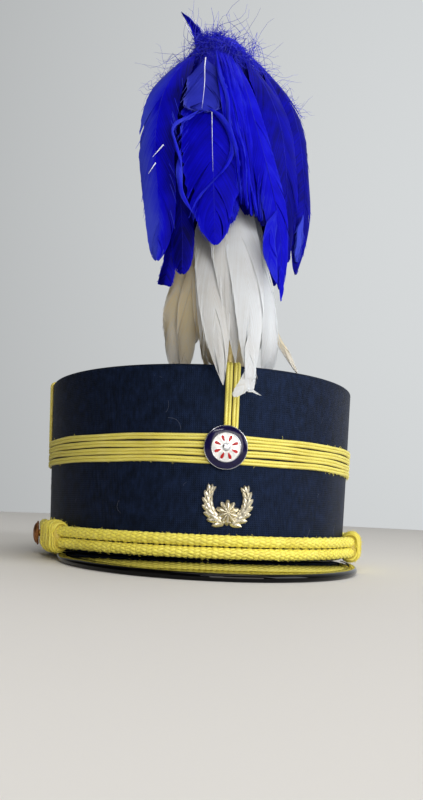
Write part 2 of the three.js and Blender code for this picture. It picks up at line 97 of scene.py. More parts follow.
def to_linear(hex_colour: str) -> Colour:
    """Turns an sRGB hex colour into linear RGBA.

    Args:
        hex_colour: colour as #rrggbb.

    Returns:
        Linear red, green, blue and an alpha of 1.
    """
    channels = [int(hex_colour[i:i + 2], 16) / 255.0 for i in (1, 3, 5)]
    red, green, blue = (c / 12.92 if c <= 0.04045 else ((c + 0.055) / 1.055) ** 2.4 for c in channels)
    return red, green, blue, 1.0


def add_node(tree: bpy.types.NodeTree, kind: str, inputs: dict | None = None,
             **settings: str) -> bpy.types.Node:
    """Adds a node, sets it up and links it.

    Args:
        tree: node tree that gets the node.
        kind: type name of the node.
        inputs: for each input's name or place, a socket to link or a value to set.
        settings: properties of the node.

    Returns:
        The new node.
    """
    node = tree.nodes.new(kind)
    for name, value in settings.items():
        setattr(node, name, value)
    for key, value in (inputs or {}).items():
        if isinstance(value, Socket):
            tree.links.new(value, node.inputs[key])
        else:
            node.inputs[key].default_value = value
    return node


@dataclass
class Bench:
    """A material's node tree and shader, with the nodes that most finishes use."""

    tree: bpy.types.NodeTree
    shader: bpy.types.Node

    def place(self, along: float = 1.0, across: float = 1.0) -> Socket:
        """Flat place on the surface in millimetres, stretched along and across the piece."""
        flat = add_node(self.tree, "ShaderNodeUVMap", uv_map=PLACE_LAYER).outputs["UV"]
        return add_node(self.tree, "ShaderNodeMapping",
                        {"Vector": flat, "Scale": (along, across, 1.0)}).outputs["Vector"]

    def solid(self) -> Socket:
        """Place in the piece's volume, in metres."""
        return add_node(self.tree, "ShaderNodeTexCoord").outputs["Object"]

    def tone(self) -> Socket:
        """Tone that the mesh carries, from 0 to 1."""
        return add_node(self.tree, "ShaderNodeAttribute", attribute_name=TONE_LAYER).outputs["Fac"]

    def noise(self, place: Socket, scale: float, detail: float, roughness: float = 0.5) -> Socket:
        """Cloudy noise at a place."""
        inputs = {"Vector": place, "Scale": scale, "Detail": detail, "Roughness": roughness}
        return add_node(self.tree, "ShaderNodeTexNoise", inputs).outputs["Fac"]

    def combine(self, operation: str, one: Socket, other: Socket) -> Socket:
        """Combines two values by an operation such as ADD or MULTIPLY."""
        return add_node(self.tree, "ShaderNodeMath", {0: one, 1: other}, operation=operation).outputs[0]

    def spread(self, value: Socket, low: float, high: float, to_low: float = 0.0,
               to_high: float = 1.0) -> Socket:
        """Stretches a value from the range low to high to the range to_low to to_high, and clamps it."""
        inputs = {"Value": value, "From Min": low, "From Max": high, "To Min": to_low, "To Max": to_high}
        return add_node(self.tree, "ShaderNodeMapRange", inputs).outputs["Result"]

    def mix(self, share: Socket, low: str | Socket, high: str | Socket) -> Socket:
        """Mixes two colours, given as hex colours or sockets, by a share from 0 to 1."""
        ends = [to_linear(c) if isinstance(c, str) else c for c in (low, high)]
        return add_node(self.tree, "ShaderNodeMix", {"Factor": share, MIX_A: ends[0], MIX_B: ends[1]},
                        data_type="RGBA").outputs[MIX_RESULT]

    def feed(self, value: Socket, name: str = "Base Color") -> None:
        """Links a value to one of the shader's sockets."""
        self.tree.links.new(value, self.shader.inputs[name])

    def bump(self, height: Socket, depth_mm: float, strength: float) -> None:
        """Bumps the shader's normal by a height of a real depth, of which a share shows."""
        inputs = {"Height": height, "Distance": depth_mm * MM, "Strength": strength}
        self.feed(add_node(self.tree, "ShaderNodeBump", inputs).outputs["Normal"], "Normal")


@dataclass(frozen=True)
class Finish:
    """A surface finish that becomes one procedural material."""

    name: str

    def material(self) -> bpy.types.Material:
        """Returns the finish's material, made on first use.

        Returns:
            The material.
        """
        found = bpy.data.materials.get(self.name)
        if found:
            return found
        made = bpy.data.materials.new(self.name)
        made.use_nodes = True
        self.wire(Bench(made.node_tree, made.node_tree.nodes["Principled BSDF"]))
        return made

    def wire(self, bench: Bench) -> None:
        """Sets the shader and adds the finish's nodes on the bench."""
        raise NotImplementedError


@dataclass(frozen=True)
class WoolSerge(Finish):
    """Fulled wool serge over stiff buckram."""

    base: str = "#060910"
    worn: str = "#141e36"
    lint: str = "#6d7486"
    bloom: str = "#84a4e4"
    thread_mm: float = 1.1
    mottle_mm: float = 7.0
    lint_mm: float = 1.3

    def wire(self, bench: Bench) -> None:
        """Wires a matt cloth with crossed threads, cloudy wear and specks of lint.

        Args:
            bench: the material's nodes.
        """
        # Wool swallows light, so the cloth is nearly black in shade, with a blue bloom of fibres at an angle.
        # The threads are drawn about twice as coarse as real serge, or the picture would lose them.
        flat = bench.place()
        wave = {"Vector": flat, "Scale": WAVE_PERIOD / self.thread_mm, "Distortion": 1.2, "Detail Scale": 2.0}
        warp, weft = (add_node(bench.tree, "ShaderNodeTexWave", wave, bands_direction=way).outputs["Fac"]
                      for way in "XY")
        weave = bench.combine("MULTIPLY", warp, weft)
        cloud = bench.noise(flat, 1.0 / self.mottle_mm, 5.0, 0.7)
        slub = bench.noise(bench.place(0.5, 0.16), 1.0, 3.0)
        wear = bench.spread(bench.combine("MULTIPLY", cloud, slub), 0.14, 0.40)
        cloth = bench.mix(wear, self.base, self.worn)
        threads = bench.mix(bench.spread(weave, 0.0, 1.0, 0.0, 0.3), cloth, self.worn)
        speck = bench.noise(flat, 1.0 / self.lint_mm, 1.0)
        bench.feed(bench.mix(bench.spread(speck, 0.76, 0.9, 0.0, 0.3), threads, self.lint))
        sockets = bench.shader.inputs
        sockets["Roughness"].default_value = 0.56
        sockets["Specular IOR Level"].default_value = 0.28
        sockets["Specular Tint"].default_value = to_linear(self.bloom)
        bench.bump(weave, 0.25, 0.5)


@dataclass(frozen=True)
class PatentLeather(Finish):
    """Leather under many coats of black lacquer."""

    base: str = "#070709"
    dusty: str = "#15151a"
    mirror: float = 2.0
    coat: float = 1.0
    ripple_mm: float = 16.0
    grain_mm: float = 0.9

    def wire(self, bench: Bench) -> None:
        """Wires a black gloss with slow ripples and faint dust.

        Args:
            bench: the material's nodes.
        """
        # Lacquer mirrors what stands over it; slow ripples bend the mirrored lines, and fine dust dulls them.
        # Many coats mirror more than one would, so the IOR lies over that of a single layer of lacquer.
        solid = bench.solid()
        ripple = bench.noise(solid, 1.0 / (self.ripple_mm * MM), 1.0)
        dust = bench.noise(solid, 1.0 / (self.grain_mm * MM), 4.0)
        bench.feed(bench.mix(bench.spread(dust, 0.55, 0.9), self.base, self.dusty))
        bench.feed(bench.spread(dust, 0.35, 0.8, 0.015, 0.06), "Roughness")
        sockets = bench.shader.inputs
        sockets["IOR"].default_value = self.mirror
        sockets["Coat Weight"].default_value = self.coat
        sockets["Coat Roughness"].default_value = 0.01
        sockets["Coat IOR"].default_value = self.mirror
        bench.bump(ripple, 0.4, 0.25)


@dataclass(frozen=True)
class RayonYarn(Finish):
    """Braided artificial silk."""

    shade: str = "#ae962c"
    body: str = "#f3ea6c"
    shine: str = "#faf6b4"
    glow: str = "#fff3a8"
    filament_mm: float = 0.45

    def wire(self, bench: Bench) -> None:
        """Wires a silky yarn whose filaments run along each strand.

        Args:
            bench: the material's nodes.
        """
        # Filaments lie side by side and streak the yarn; the paler shine streaks are a painted sheen on them.
        streaks = bench.noise(bench.place(0.12, 1.0 / self.filament_mm), 1.0, 3.0)
        drift = bench.noise(bench.place(0.04, 0.0), 1.0, 2.0)
        # The mesh's tone paints light on the crests and shade in the pits, between the shade and body colours.
        crest = bench.mix(bench.tone(), self.shade, self.body)
        streaked = bench.mix(bench.spread(streaks, 0.45, 0.8, 0.0, 0.6), crest, self.shine)
        bench.feed(bench.mix(bench.spread(drift, 0.5, 0.75, 0.0, 0.35), streaked, self.shade))
        bench.feed(bench.spread(streaks, 0.3, 0.7, 0.5, 0.36), "Roughness")
        sockets = bench.shader.inputs
        sockets["Specular IOR Level"].default_value = 0.45
        sockets["Sheen Weight"].default_value = 0.25
        sockets["Sheen Tint"].default_value = to_linear(self.glow)
        bench.bump(streaks, 0.12, 0.5)


@dataclass(frozen=True)
class CastMetal(Finish):
    """Stamped or cast metal with a bright plate."""

    bright: str = "#faf4de"
    tarnish: str = "#dccd9c"
    gloss: float = 0.3
    metal: float = 1.0
    patch_mm: float = 2.5

    def wire(self, bench: Bench) -> None:
        """Wires a plated metal with tarnish in patches.

        Args:
            bench: the material's nodes.
        """
        # Thin plate is bright on its crests, and handling leaves it duller and browner in patches. A lacquer
        # over the plate scatters light, so lacquered metal is a little less metallic.
        patch = bench.noise(bench.solid(), 1.0 / (self.patch_mm * MM), 4.0)
        bench.feed(bench.mix(bench.spread(patch, 0.48, 0.75), self.bright, self.tarnish))
        bench.feed(bench.spread(patch, 0.3, 0.75, self.gloss, self.gloss + 0.22), "Roughness")
        bench.shader.inputs["Metallic"].default_value = self.metal
        bench.bump(patch, 0.05, 0.25)


@dataclass(frozen=True)
class FusedEnamel(Finish):
    """Glass fused onto metal and stoned flush."""

    base: str = "#ffffff"
    flaw: str = "#d8d8d8"
    flow_mm: float = 1.6

    def wire(self, bench: Bench) -> None:
        """Wires a glassy colour with slight flow marks.

        Args:
            bench: the material's nodes.
        """
        # Fused glass is deep and wet looking, and flow marks change its depth a little.
        flow = bench.noise(bench.solid(), 1.0 / (self.flow_mm * MM), 2.0)
        bench.feed(bench.mix(bench.spread(flow, 0.45, 0.7), self.base, self.flaw))
        sockets = bench.shader.inputs
        sockets["Roughness"].default_value = 0.12
        sockets["Specular IOR Level"].default_value = 0.2
        sockets["Coat Weight"].default_value = 0.2
        sockets["Coat Roughness"].default_value = 0.02
        bench.bump(flow, 0.08, 0.3)


@dataclass(frozen=True)
class FeatherVane(Finish):
    """Barbs of a goose feather, natural or dyed."""

    deep: str = "#04044a"
    body: str = "#0a07b8"
    pale: str = "#3641b8"
    sheen: float = 0.0
    gloss: float = 0.5
    mottle_mm: float = 12.0
    barb_mm: float = 0.9
    streak: float = 0.07
    clear: float = 0.0
    depth_mm: float = 3.0

    def wire(self, bench: Bench) -> None:
        """Wires a satin vane whose tone follows the mesh.

        Args:
            bench: the material's nodes.
        """
        # Barbs hook together into a satin skin, and a slow mottle varies the dye.
        # The barbs are drawn two or three times as wide as real ones, so that their fine lines still show.
        # Tone is partly dye, partly painted shade on shaded feathers and painted light on lit edges and tips.
        mottle = bench.noise(bench.solid(), 1.0 / (self.mottle_mm * MM), 3.0)
        barbs = bench.noise(bench.place(1.0 / self.barb_mm, 0.06), 1.0, 3.0)
        shift = bench.spread(mottle, 0.3, 0.7, -0.1, 0.1)
        line = bench.spread(barbs, 0.3, 0.7, -self.streak, self.streak)
        tone = bench.combine("ADD", bench.tone(), bench.combine("ADD", shift, line))
        lower = bench.mix(bench.spread(tone, 0.0, 0.5), self.deep, self.body)
        bench.feed(bench.mix(bench.spread(tone, 0.5, 1.0), lower, self.pale))
        sockets = bench.shader.inputs
        sockets["Roughness"].default_value = self.gloss
        sockets["Specular IOR Level"].default_value = 0.03
        sockets["Sheen Weight"].default_value = self.sheen
        sockets["Sheen Roughness"].default_value = 0.35
        sockets["Sheen Tint"].default_value = to_linear(self.pale)
        # Undyed barbs let light through, which softens the shade of one feather on the next
        sockets["Subsurface Weight"].default_value = self.clear
        sockets["Subsurface Radius"].default_value = (1.0, 0.92, 0.8)
        sockets["Subsurface Scale"].default_value = self.depth_mm * MM
        bench.bump(barbs, 0.12, 0.35)


@dataclass(frozen=True)
class Horn(Finish):
    """Keratin of a feather's shaft, or of a loose fibre."""

    base: str = "#e8e4d8"
    shade: str = "#c9c0a8"
    gloss: float = 0.3
    shine: float = 0.5

    def wire(self, bench: Bench) -> None:
        """Wires a smooth horny shaft, streaked along its length.

        Args:
            bench: the material's nodes.
        """
        # Shafts are polished and slightly clear, so they catch thin bright lines of light.
        streak = bench.noise(bench.place(0.1, 1.0), 1.0, 2.0)
        bench.feed(bench.mix(bench.spread(streak, 0.35, 0.7), self.base, self.shade))
        bench.shader.inputs["Roughness"].default_value = self.gloss
        bench.shader.inputs["Specular IOR Level"].default_value = self.shine


@dataclass(frozen=True)
class MattPaint(Finish):
    """Pale paint on a board."""

    base: str = "#e6e4e1"
    cloud: str = "#dedbd7"

    def wire(self, bench: Bench) -> None:
        """Wires a matt paint with faint clouds.

        Args:
            bench: the material's nodes.
        """
        # A roller leaves an even, matt surface with only the faintest clouds.
        bench.feed(bench.mix(bench.noise(bench.solid(), 3.0, 2.0), self.base, self.cloud))
        bench.shader.inputs["Roughness"].default_value = 0.7
        bench.shader.inputs["Specular IOR Level"].default_value = 0.2


SERGE = WoolSerge("wool_serge")
LACQUER = PatentLeather("lacquered_leather")
BINDING_LACQUER = PatentLeather("lacquered_binding", base="#030304", mirror=1.25, coat=0.2)
SOUTACHE_YARN = RayonYarn("rayon_soutache")
# The cord's dark shade colour paints the shade in its pits and core
CORD_YARN = RayonYarn("rayon_cord", shade="#9a7c14", body="#f8ec5c", shine="#faf492", filament_mm=0.6)
GILT = CastMetal("lacquered_gilt", bright="#ebe4cf", tarnish="#a89a70", gloss=0.22, metal=0.85)
OLD_BRASS = CastMetal("worn_brass", bright="#b67c4c", tarnish="#6d3d24", gloss=0.32)
SOCKET_BRASS = CastMetal("dull_brass", bright="#b9a878", tarnish="#94834f", gloss=0.4)
SILVER = CastMetal("silver_plate", bright="#d9dbe0", tarnish="#a3a4a8", gloss=0.16)
NAVY_ENAMEL = FusedEnamel("navy_enamel", base="#14103a", flaw="#0e0a2b")
WHITE_ENAMEL = FusedEnamel("white_enamel", base="#e9e8e6", flaw="#d2d2d4")
RED_ENAMEL = FusedEnamel("red_enamel", base="#b5161a", flaw="#93100f")
BLUE_VANE = FeatherVane("dyed_goose_vane", barb_mm=1.2, streak=0.12)
BLUE_UNDERSIDE = FeatherVane("dyed_goose_underside", deep="#11147a", body="#2930ac", pale="#5961c6",
                             gloss=0.6)
# The white vane's deep beige is partly the feathers' own tint, partly painted warm shade.
WHITE_VANE = FeatherVane("white_goose_vane", deep="#e4d0a2", body="#d4d3d0", pale="#e8edf3", sheen=0.05,
                         gloss=0.55, barb_mm=1.5, streak=0.2, clear=0.4)
BLUE_DOWN = FeatherVane("dyed_down", deep="#1819a0", body="#2c2cd0", pale="#4a50d8", gloss=0.7)
BLUE_SHAFT = Horn("dyed_shaft", base="#2426b4", shade="#11128c", gloss=0.6, shine=0.08)
# Pale lines on the blue tier are painted glints: highlights on shafts and light through slits.
GLINT_SHAFT = Horn("painted_glint_shaft", base="#e3e6f6", shade="#b4baec", gloss=0.25)
DOWN_FIBRE = Horn("down_fibre", base="#4a4cc4", shade="#3133b4", gloss=0.6, shine=0.05)
WHITE_SHAFT = Horn("white_shaft", base="#e4e0d4", shade="#cdc4ac")
LINT_FIBRE = Horn("lint_fibre", base="#545b70", shade="#3d4458", gloss=0.7)
FLOOR_PAINT = MattPaint("floor_paint")


# Meshes from arrays


@dataclass
class Form:
    """Closed bodies as arrays, in millimetres of the hat's frame."""

    points: Array
    faces: list[Array]
    places: list[Array]
    tones: Array

    @staticmethod
    def join(forms: list["Form"]) -> "Form":
        """Puts several forms into one.

        Args:
            forms: forms to join.

        Returns:
            One form with all their bodies.
        """
        starts = np.cumsum([0] + [len(f.points) for f in forms])
        return Form(
            np.concatenate([f.points for f in forms]),
            [faces + start for f, start in zip(forms, starts) for faces in f.faces],
            [places for f in forms for places in f.places],
            np.concatenate([f.tones for f in forms]),
        )

    def facing_out(self) -> "Form":
        """Turns all faces over if they enclose a negative volume.

        Returns:
            The form itself.
        """
        volume = 0.0
        for faces in self.faces:
            first = self.points[faces[:, 0]]
            for i in range(1, faces.shape[1] - 1):
                corners = np.cross(self.points[faces[:, i]], self.points[faces[:, i + 1]])
                volume += float(np.einsum("ij,ij->", first, corners))
        if volume < 0.0:
            self.faces = [faces[:, ::-1] for faces in self.faces]
            self.places = [places[:, ::-1] for places in self.places]
        return self


def unit(vectors: Array) -> Array:
    """Scales vectors to length 1."""
    return vectors / np.maximum(np.linalg.norm(vectors, axis=-1, keepdims=True), 1e-12)


def lap(count: int) -> Array:
    """Even angles round a full turn, in radians."""
    return np.linspace(0.0, FULL_TURN, count, endpoint=False)


def travelled(points: Array) -> Array:
    """Distance along a line of points from its first one."""
    return np.concatenate([[0.0], np.cumsum(np.linalg.norm(np.diff(points, axis=0), axis=-1))])


def arc(centre: Point, radius: float, start: float, end: float, count: int) -> list[Point]:
    """Points on an arc from one angle to another, in degrees."""
    turns = np.radians(np.linspace(start, end, count))
    return [(centre[0] + radius * math.cos(t), centre[1] + radius * math.sin(t)) for t in turns]


def skin(rings: Array, along: Array | None = None, girth: float = 1.0, loop: bool = False,
         tones: Array | None = None) -> Form:
    """Closes rows of rings into bodies.

    Args:
        rings: ring points, as bodies x rings x corners x 3.
        along: distance of each ring along its body, as bodies x rings, with one more column on a loop.
        girth: distance round a ring.
        loop: True joins the last ring to the first one, False caps both.
        tones: tone of each point, as bodies x rings x corners.

    Returns:
        The closed form.
    """
    bodies, rows, corners = rings.shape[:3]
    if along is None:
        along = np.broadcast_to(np.arange(rows + loop, dtype=float), (bodies, rows + loop))
    index = np.arange(bodies * rows * corners).reshape(bodies, rows, corners)
    steps = rows if loop else rows - 1
    lower, upper = index[:, :steps], np.roll(index, -1, axis=1)[:, :steps]
    quads = np.stack([lower, np.roll(lower, -1, axis=2), np.roll(upper, -1, axis=2), upper], axis=-1)
    across = girth * np.arange(corners + 1) / corners
    near, far, left, right = (np.broadcast_to(edge, lower.shape) for edge in (
        along[:, :steps, None], along[:, 1:steps + 1, None], across[:-1], across[1:]))
    ends = ((near, left), (near, right), (far, right), (far, left))
    faces = [quads.reshape(-1, 4)]
    places = [np.stack([np.stack(end, -1) for end in ends], axis=-2).reshape(-1, 4, 2)]
    if not loop:
        for cap in (index[:, 0, ::-1], index[:, -1]):
            faces.append(cap)
            places.append(np.zeros((bodies, corners, 2)))
    tones = np.broadcast_to(0.5 if tones is None else tones, (bodies, rows, corners))
    return Form(rings.reshape(-1, 3), faces, places, tones.reshape(-1)).facing_out()


def rods(paths: Array, facing: Array | Triple, half_width: Array | float, half_thick: Array | float,
         corners: int, loop: bool = False, tones: Array | None = None) -> Form:
    """Makes flattened rods along paths.

    Args:
        paths: middle points, as rods x points x 3.
        facing: direction of the thin side, broadcast over paths.
        half_width: half width, broadcast over rods x points.
        half_thick: half thickness, broadcast over rods x points.
        corners: corners of the section.
        loop: True for closed rods.
        tones: tone of each point, broadcast over rods x points.

    Returns:
        The rods as one form.
    """
    if loop:
        forward = unit(np.roll(paths, -1, axis=1) - np.roll(paths, 1, axis=1))
    else:
        forward = unit(np.gradient(paths, axis=1))
    facing = np.broadcast_to(facing, paths.shape)
    outward = unit(facing - forward * np.sum(facing * forward, axis=-1, keepdims=True))
    aside = np.cross(outward, forward)
    turns = FULL_TURN * np.arange(corners) / corners
    width, thick = (np.broadcast_to(half, paths.shape[:2])[..., None, None]
                    for half in (half_width, half_thick))
    rings = (paths[:, :, None] + aside[:, :, None] * np.cos(turns)[:, None] * width
             + outward[:, :, None] * np.sin(turns)[:, None] * thick)
    ends = np.concatenate([paths, paths[:, :1]], axis=1) if loop else paths
    steps = np.linalg.norm(np.diff(ends, axis=1), axis=-1)
    along = np.concatenate([np.zeros((len(paths), 1)), np.cumsum(steps, axis=1)], axis=1)
    if tones is not None:
        tones = np.broadcast_to(tones, paths.shape[:2])[..., None]
    return skin(rings, along, FULL_TURN * float(np.mean(width)), loop, tones)


def turned(profile: list[Point] | tuple[Point, ...], corners: int) -> Form:
    """Turns a profile about +Z and caps it at both ends.

    Args:
        profile: radius and height of each ring, from the foot to the top.
        corners: corners of each ring.

    Returns:
        The turned body.
    """
    turns = FULL_TURN * np.arange(corners) / corners
    radius, height = np.array(profile, float).T[..., None]
    rings = np.stack(np.broadcast_arrays(radius * np.cos(turns), radius * np.sin(turns), height), axis=-1)
    return skin(rings[None], girth=FULL_TURN * float(radius.max()))


def wobble(rng: Random, distance: Array, waves_mm: tuple[float, ...], size: float) -> Array:
    """Adds a few slow waves.

    Args:
        rng: seeded random numbers.
        distance: distance in millimetres.
        waves_mm: lengths of the waves.
        size: size of each wave.

    Returns:
        Their sum at each distance.
    """
    total = np.zeros_like(distance, dtype=float)
    for length in waves_mm:
        total = total + size * np.sin(FULL_TURN * (distance / length + rng.random()))
    return total


# The hat's form


@dataclass(frozen=True)
class HatForm:
    """The crown's oval wall and the tilt at which the hat rests.

    Angles round the wall are radians from the front to the viewer's right.
    """

    half_width: float = 87.0
    half_length: float = 105.0
    height: float = 97.0
    flare: float = 3.8
    wall: float = 3.0
    edge_round: float = 1.4
    top_drop: float = 0.5
    gap: float = 0.3
    peak_reach: float = 36.0
    peak_drop: float = 8.6
    rim_flat: float = 0.35

    @property
    def pitch(self) -> float:
        """Angle by which the hat is tipped back, in radians."""
        return math.atan(self.peak_drop / (2.0 * self.half_length + self.peak_reach))

    def floor_height(self, y: Array) -> Array:
        """Height of the floor over the crown's base at a distance y towards the back."""
        return self.rim_flat - math.tan(self.pitch) * (self.half_length - y)

    def on_floor(self, points: Array) -> Array:
        """Lifts points that would lie under the floor up to it."""
        points[..., 2] = np.maximum(points[..., 2], self.floor_height(points[..., 1]))
        return points

    def tip(self, points: Array) -> Array:
        """Tips points or directions back by the resting angle."""
        c, s = math.cos(self.pitch), math.sin(self.pitch)
        return np.asarray(points, float) @ np.array([[1.0, 0.0, 0.0], [0.0, c, -s], [0.0, s, c]])

    def to_rest(self, points: Array) -> Array:
        """Carries points from the hat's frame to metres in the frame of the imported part.

        Args:
            points: points in millimetres.

        Returns:
            Points in metres.
        """
        front = self.tip([0.0, -self.half_length - self.peak_reach, -self.peak_drop])
        back = self.tip([0.0, self.half_length + self.flare, self.height])
        rim = self.tip([0.0, self.half_length, self.rim_flat])
        move = np.array([0.0, -(front[1] + back[1]) / 2.0, -rim[2]])
        return (self.tip(points) + move) * MM

    def wall_normal(self, angle: Array) -> Array:
        """Unit directions straight out of the wall."""
        x, y = np.sin(angle) / self.half_width, -np.cos(angle) / self.half_length
        return unit(np.stack([x, y, np.zeros_like(x)], axis=-1))

    def wall_point(self, angle: Array, z: Array, out: Array) -> Array:
        """Gives points by the wall.

        Args:
            angle: angle round the wall.
            z: height over the crown's base.
            out: distance off the wall.

        Returns:
            Points in the hat's frame.
        """
        angle, z, out = np.broadcast_arrays(np.asarray(angle, float), z, out)
        oval = np.stack([self.half_width * np.sin(angle), -self.half_length * np.cos(angle), z], axis=-1)
        return oval + self.wall_normal(angle) * (self.flare * z / self.height + out)[..., None]

    def wall_rate(self, angle: Array) -> Array:
        """Millimetres along the wall for each radian."""
        return np.hypot(self.half_width * np.cos(angle), self.half_length * np.sin(angle))

    def even_angles(self, step: float) -> Array:
        """Spreads angles evenly round the wall.

        Args:
            step: distance between two of them in millimetres.

        Returns:
            Angles from 0 to just before a full turn.
        """
        fine = np.linspace(0.0, FULL_TURN, 2000)
        rate = self.wall_rate(fine)
        travel = np.concatenate([[0.0], np.cumsum((rate[1:] + rate[:-1]) / 2.0 * np.diff(fine))])
        count = round(travel[-1] / step)
        return np.interp(np.arange(count) * travel[-1] / count, travel, fine)

    def seat(self, points: Array, angle: float, z: float, out: float) -> Array:
        """Stands points on the wall, their own axes to the right, up the wall and out of it.

        Args:
            points: points of a badge.
            angle: its angle in radians.
            z: its height.
            out: its distance off the wall.

        Returns:
            Points in the hat's frame.
        """
        near = self.wall_point(np.array([angle - 1e-3, angle + 1e-3]), 0.0, 0.0)
        right = unit(near[1] - near[0])
        up = unit(self.wall_point(angle, self.height, 0.0) - self.wall_point(angle, 0.0, 0.0))
        axes = np.stack([right, up, np.cross(right, up)])
        return points @ axes + self.wall_point(angle, z, out)


HAT = HatForm()


def make_piece(name: str, form: Form, finish: Finish, slot: Slot, *replaced: str,
               crease: float = 40.0) -> None:
    """Makes a mesh object of a form, dresses it and lets it ride on the hat.

    Args:
        name: name of the piece.
        form: its bodies in the hat's frame.
        finish: its finish.
        slot: material slot of the record; not used.
        replaced: nodes that it stands for.
        crease: angle in degrees from which an edge stays sharp.
    """
    mesh = bpy.data.meshes.new(name)
    mesh.vertices.add(len(form.points))
    mesh.vertices.foreach_set("co", HAT.to_rest(form.points).astype(np.float32).ravel())
    corners = np.concatenate([faces.ravel() for faces in form.faces]).astype(np.int32)
    sizes = np.concatenate([np.full(len(faces), faces.shape[1]) for faces in form.faces])
    starts = np.concatenate([[0], np.cumsum(sizes)[:-1]]).astype(np.int32)
    mesh.loops.add(len(corners))
    mesh.loops.foreach_set("vertex_index", corners)
    mesh.polygons.add(len(sizes))
    mesh.polygons.foreach_set("loop_start", starts)
    mesh.polygons.foreach_set("use_smooth", np.ones(len(sizes), bool))
    layer = mesh.uv_layers.new(name=PLACE_LAYER)
    places = np.concatenate([places.reshape(-1, 2) for places in form.places])
    layer.data.foreach_set("uv", places.astype(np.float32).ravel())
    tone = mesh.attributes.new(TONE_LAYER, "FLOAT", "POINT")
    tone.data.foreach_set("value", np.clip(form.tones, 0.0, 1.0).astype(np.float32))
    mesh.update(calc_edges=True)
    mesh.set_sharp_from_angle(angle=math.radians(crease))
    mesh.materials.append(finish.material())
    piece = bpy.data.objects.new(name, mesh)
    bpy.context.scene.collection.objects.link(piece)
    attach(piece, "root")
    if replaced:
        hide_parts(*replaced)
    LOG.info("%s: %d triangles", name, int(np.sum(sizes - 2)))


# Crown


@dataclass
class Crown:
    """The stiff cloth wall, the flat top and the lint on them."""

    facets: int = 240
    pucker: float = 0.12
    rim_round: float = 0.8
    straight: Point = (4.0, 92.0)
    top_sag: float = 0.35
    lint_count: int = 26
    seed: int = 11
    # Fibres that stand out: angle, height, length, lean and curl of each
    marked_lint: tuple[tuple[float, float, float, float, float], ...] = (
        (-20.0, 75.0, 6.0, 82.0, 0.6),
        (-17.0, 68.0, 9.0, -42.0, -1.0),
        (-37.0, 24.0, 6.5, -80.0, 1.2),
        (31.0, 12.5, 8.5, 40.0, 0.8),
        (49.0, 14.0, 9.0, -70.0, 1.4),
    )

    def build_wall(self) -> None:
        """Builds the wall with slight puckers."""
        r, e = self.rim_round, HAT.edge_round
        low, high = self.straight
        # The wall's section, as distance off the outer face and height
        outline = np.array([
            *arc((r - HAT.wall, r), r, 180.0, 270.0, 4),
            *arc((-r, r), r, 270.0, 360.0, 4),
            *[(0.0, z) for z in np.linspace(low, high, 23)],
            *arc((-e, HAT.height - e), e, 0.0, 90.0, 7),
            *arc((r - HAT.wall, HAT.height - r), r, 90.0, 180.0, 4),
            *[(-HAT.wall, z) for z in np.linspace(high, low, 6)],
        ])
        rng = np.random.default_rng(self.seed)
        angles = lap(self.facets)
        travel = angles * (HAT.half_width + HAT.half_length) / 2.0
        girth = float(np.max(travel)) * self.facets / (self.facets - 1)
        waves = wobble(rng, travel, (girth / 9.0, girth / 14.0, girth / 23.0), self.pucker)
        lobe = np.sin(math.pi * outline[:, 1] / HAT.height)
        out = outline[:, 0] + waves[:, None] * lobe
        rings = HAT.on_floor(HAT.wall_point(angles[:, None], outline[:, 1], out))
        along = np.linspace(0.0, girth, self.facets + 1)[None]
        steps = np.linalg.norm(np.diff(outline, axis=0, append=outline[:1]), axis=1)
        form = skin(rings[None], along, float(np.sum(steps)), loop=True)
        make_piece("crown_wall", form, SERGE, Slot.CLOTH, "crown_side")

    def build_top(self) -> None:
        """Builds the flat top, which lies a little lower than the wall's edge."""
        upper = HAT.height - HAT.top_drop
        lower = upper - HAT.wall
        profile = [(0.004, lower), (0.9, lower), (0.997, lower + 0.3), (1.0, lower + 1.2), (1.0, upper - 0.8),
                   (0.996, upper - 0.2), (0.985, upper)]
        profile += [(x, upper - self.top_sag * (1.0 - x * x)) for x in np.linspace(0.95, 0.004, 18)]
        edge = HAT.wall_point(lap(self.facets), lower, -HAT.wall - 0.1)
        share, height = np.array(profile).T
        rings = edge[None] * share[:, None, None]
        rings[..., 2] = height[:, None]
        form = skin(rings[None])
        form.places = [form.points[faces][..., :2] for faces in form.faces]
        make_piece("crown_top_cloth", form, SERGE, Slot.CLOTH, "crown_top")

    def build_lint(self) -> None:
        """Lays pale fibres on the wall."""
        rng = np.random.default_rng(self.seed + 1)
        rows = list(self.marked_lint)
        for _ in range(self.lint_count):
            rows.append((rng.uniform(-180.0, 180.0), rng.choice([rng.uniform(16, 42), rng.uniform(66, 92)]),
                         rng.uniform(1.0, 3.5), rng.uniform(-90.0, 90.0), rng.uniform(-0.6, 0.6)))
        share = np.linspace(-0.5, 0.5, 9)
        off = 0.2 + 0.5 * np.abs(share) ** 2
        paths = []
        for angle, height, length, lean, curl in rows:
            c, s = math.cos(math.radians(lean)), math.sin(math.radians(lean))
            aside = length * (share * c - curl * share ** 2 * s)
            rise = length * (share * s + curl * share ** 2 * c)
            turn = math.radians(angle)
            paths.append(HAT.wall_point(turn + aside / HAT.wall_rate(turn), height + rise, off))
        size = np.full((len(rows), 1), 0.045)
        size[:len(self.marked_lint)] = 0.06
        make_piece("crown_lint", rods(np.array(paths), UP, size, size, 3), LINT_FIBRE, Slot.CLOTH)

    def build(self) -> None:
        """Builds the whole crown."""
        self.build_wall()
        self.build_top()
        self.build_lint()


# Peak


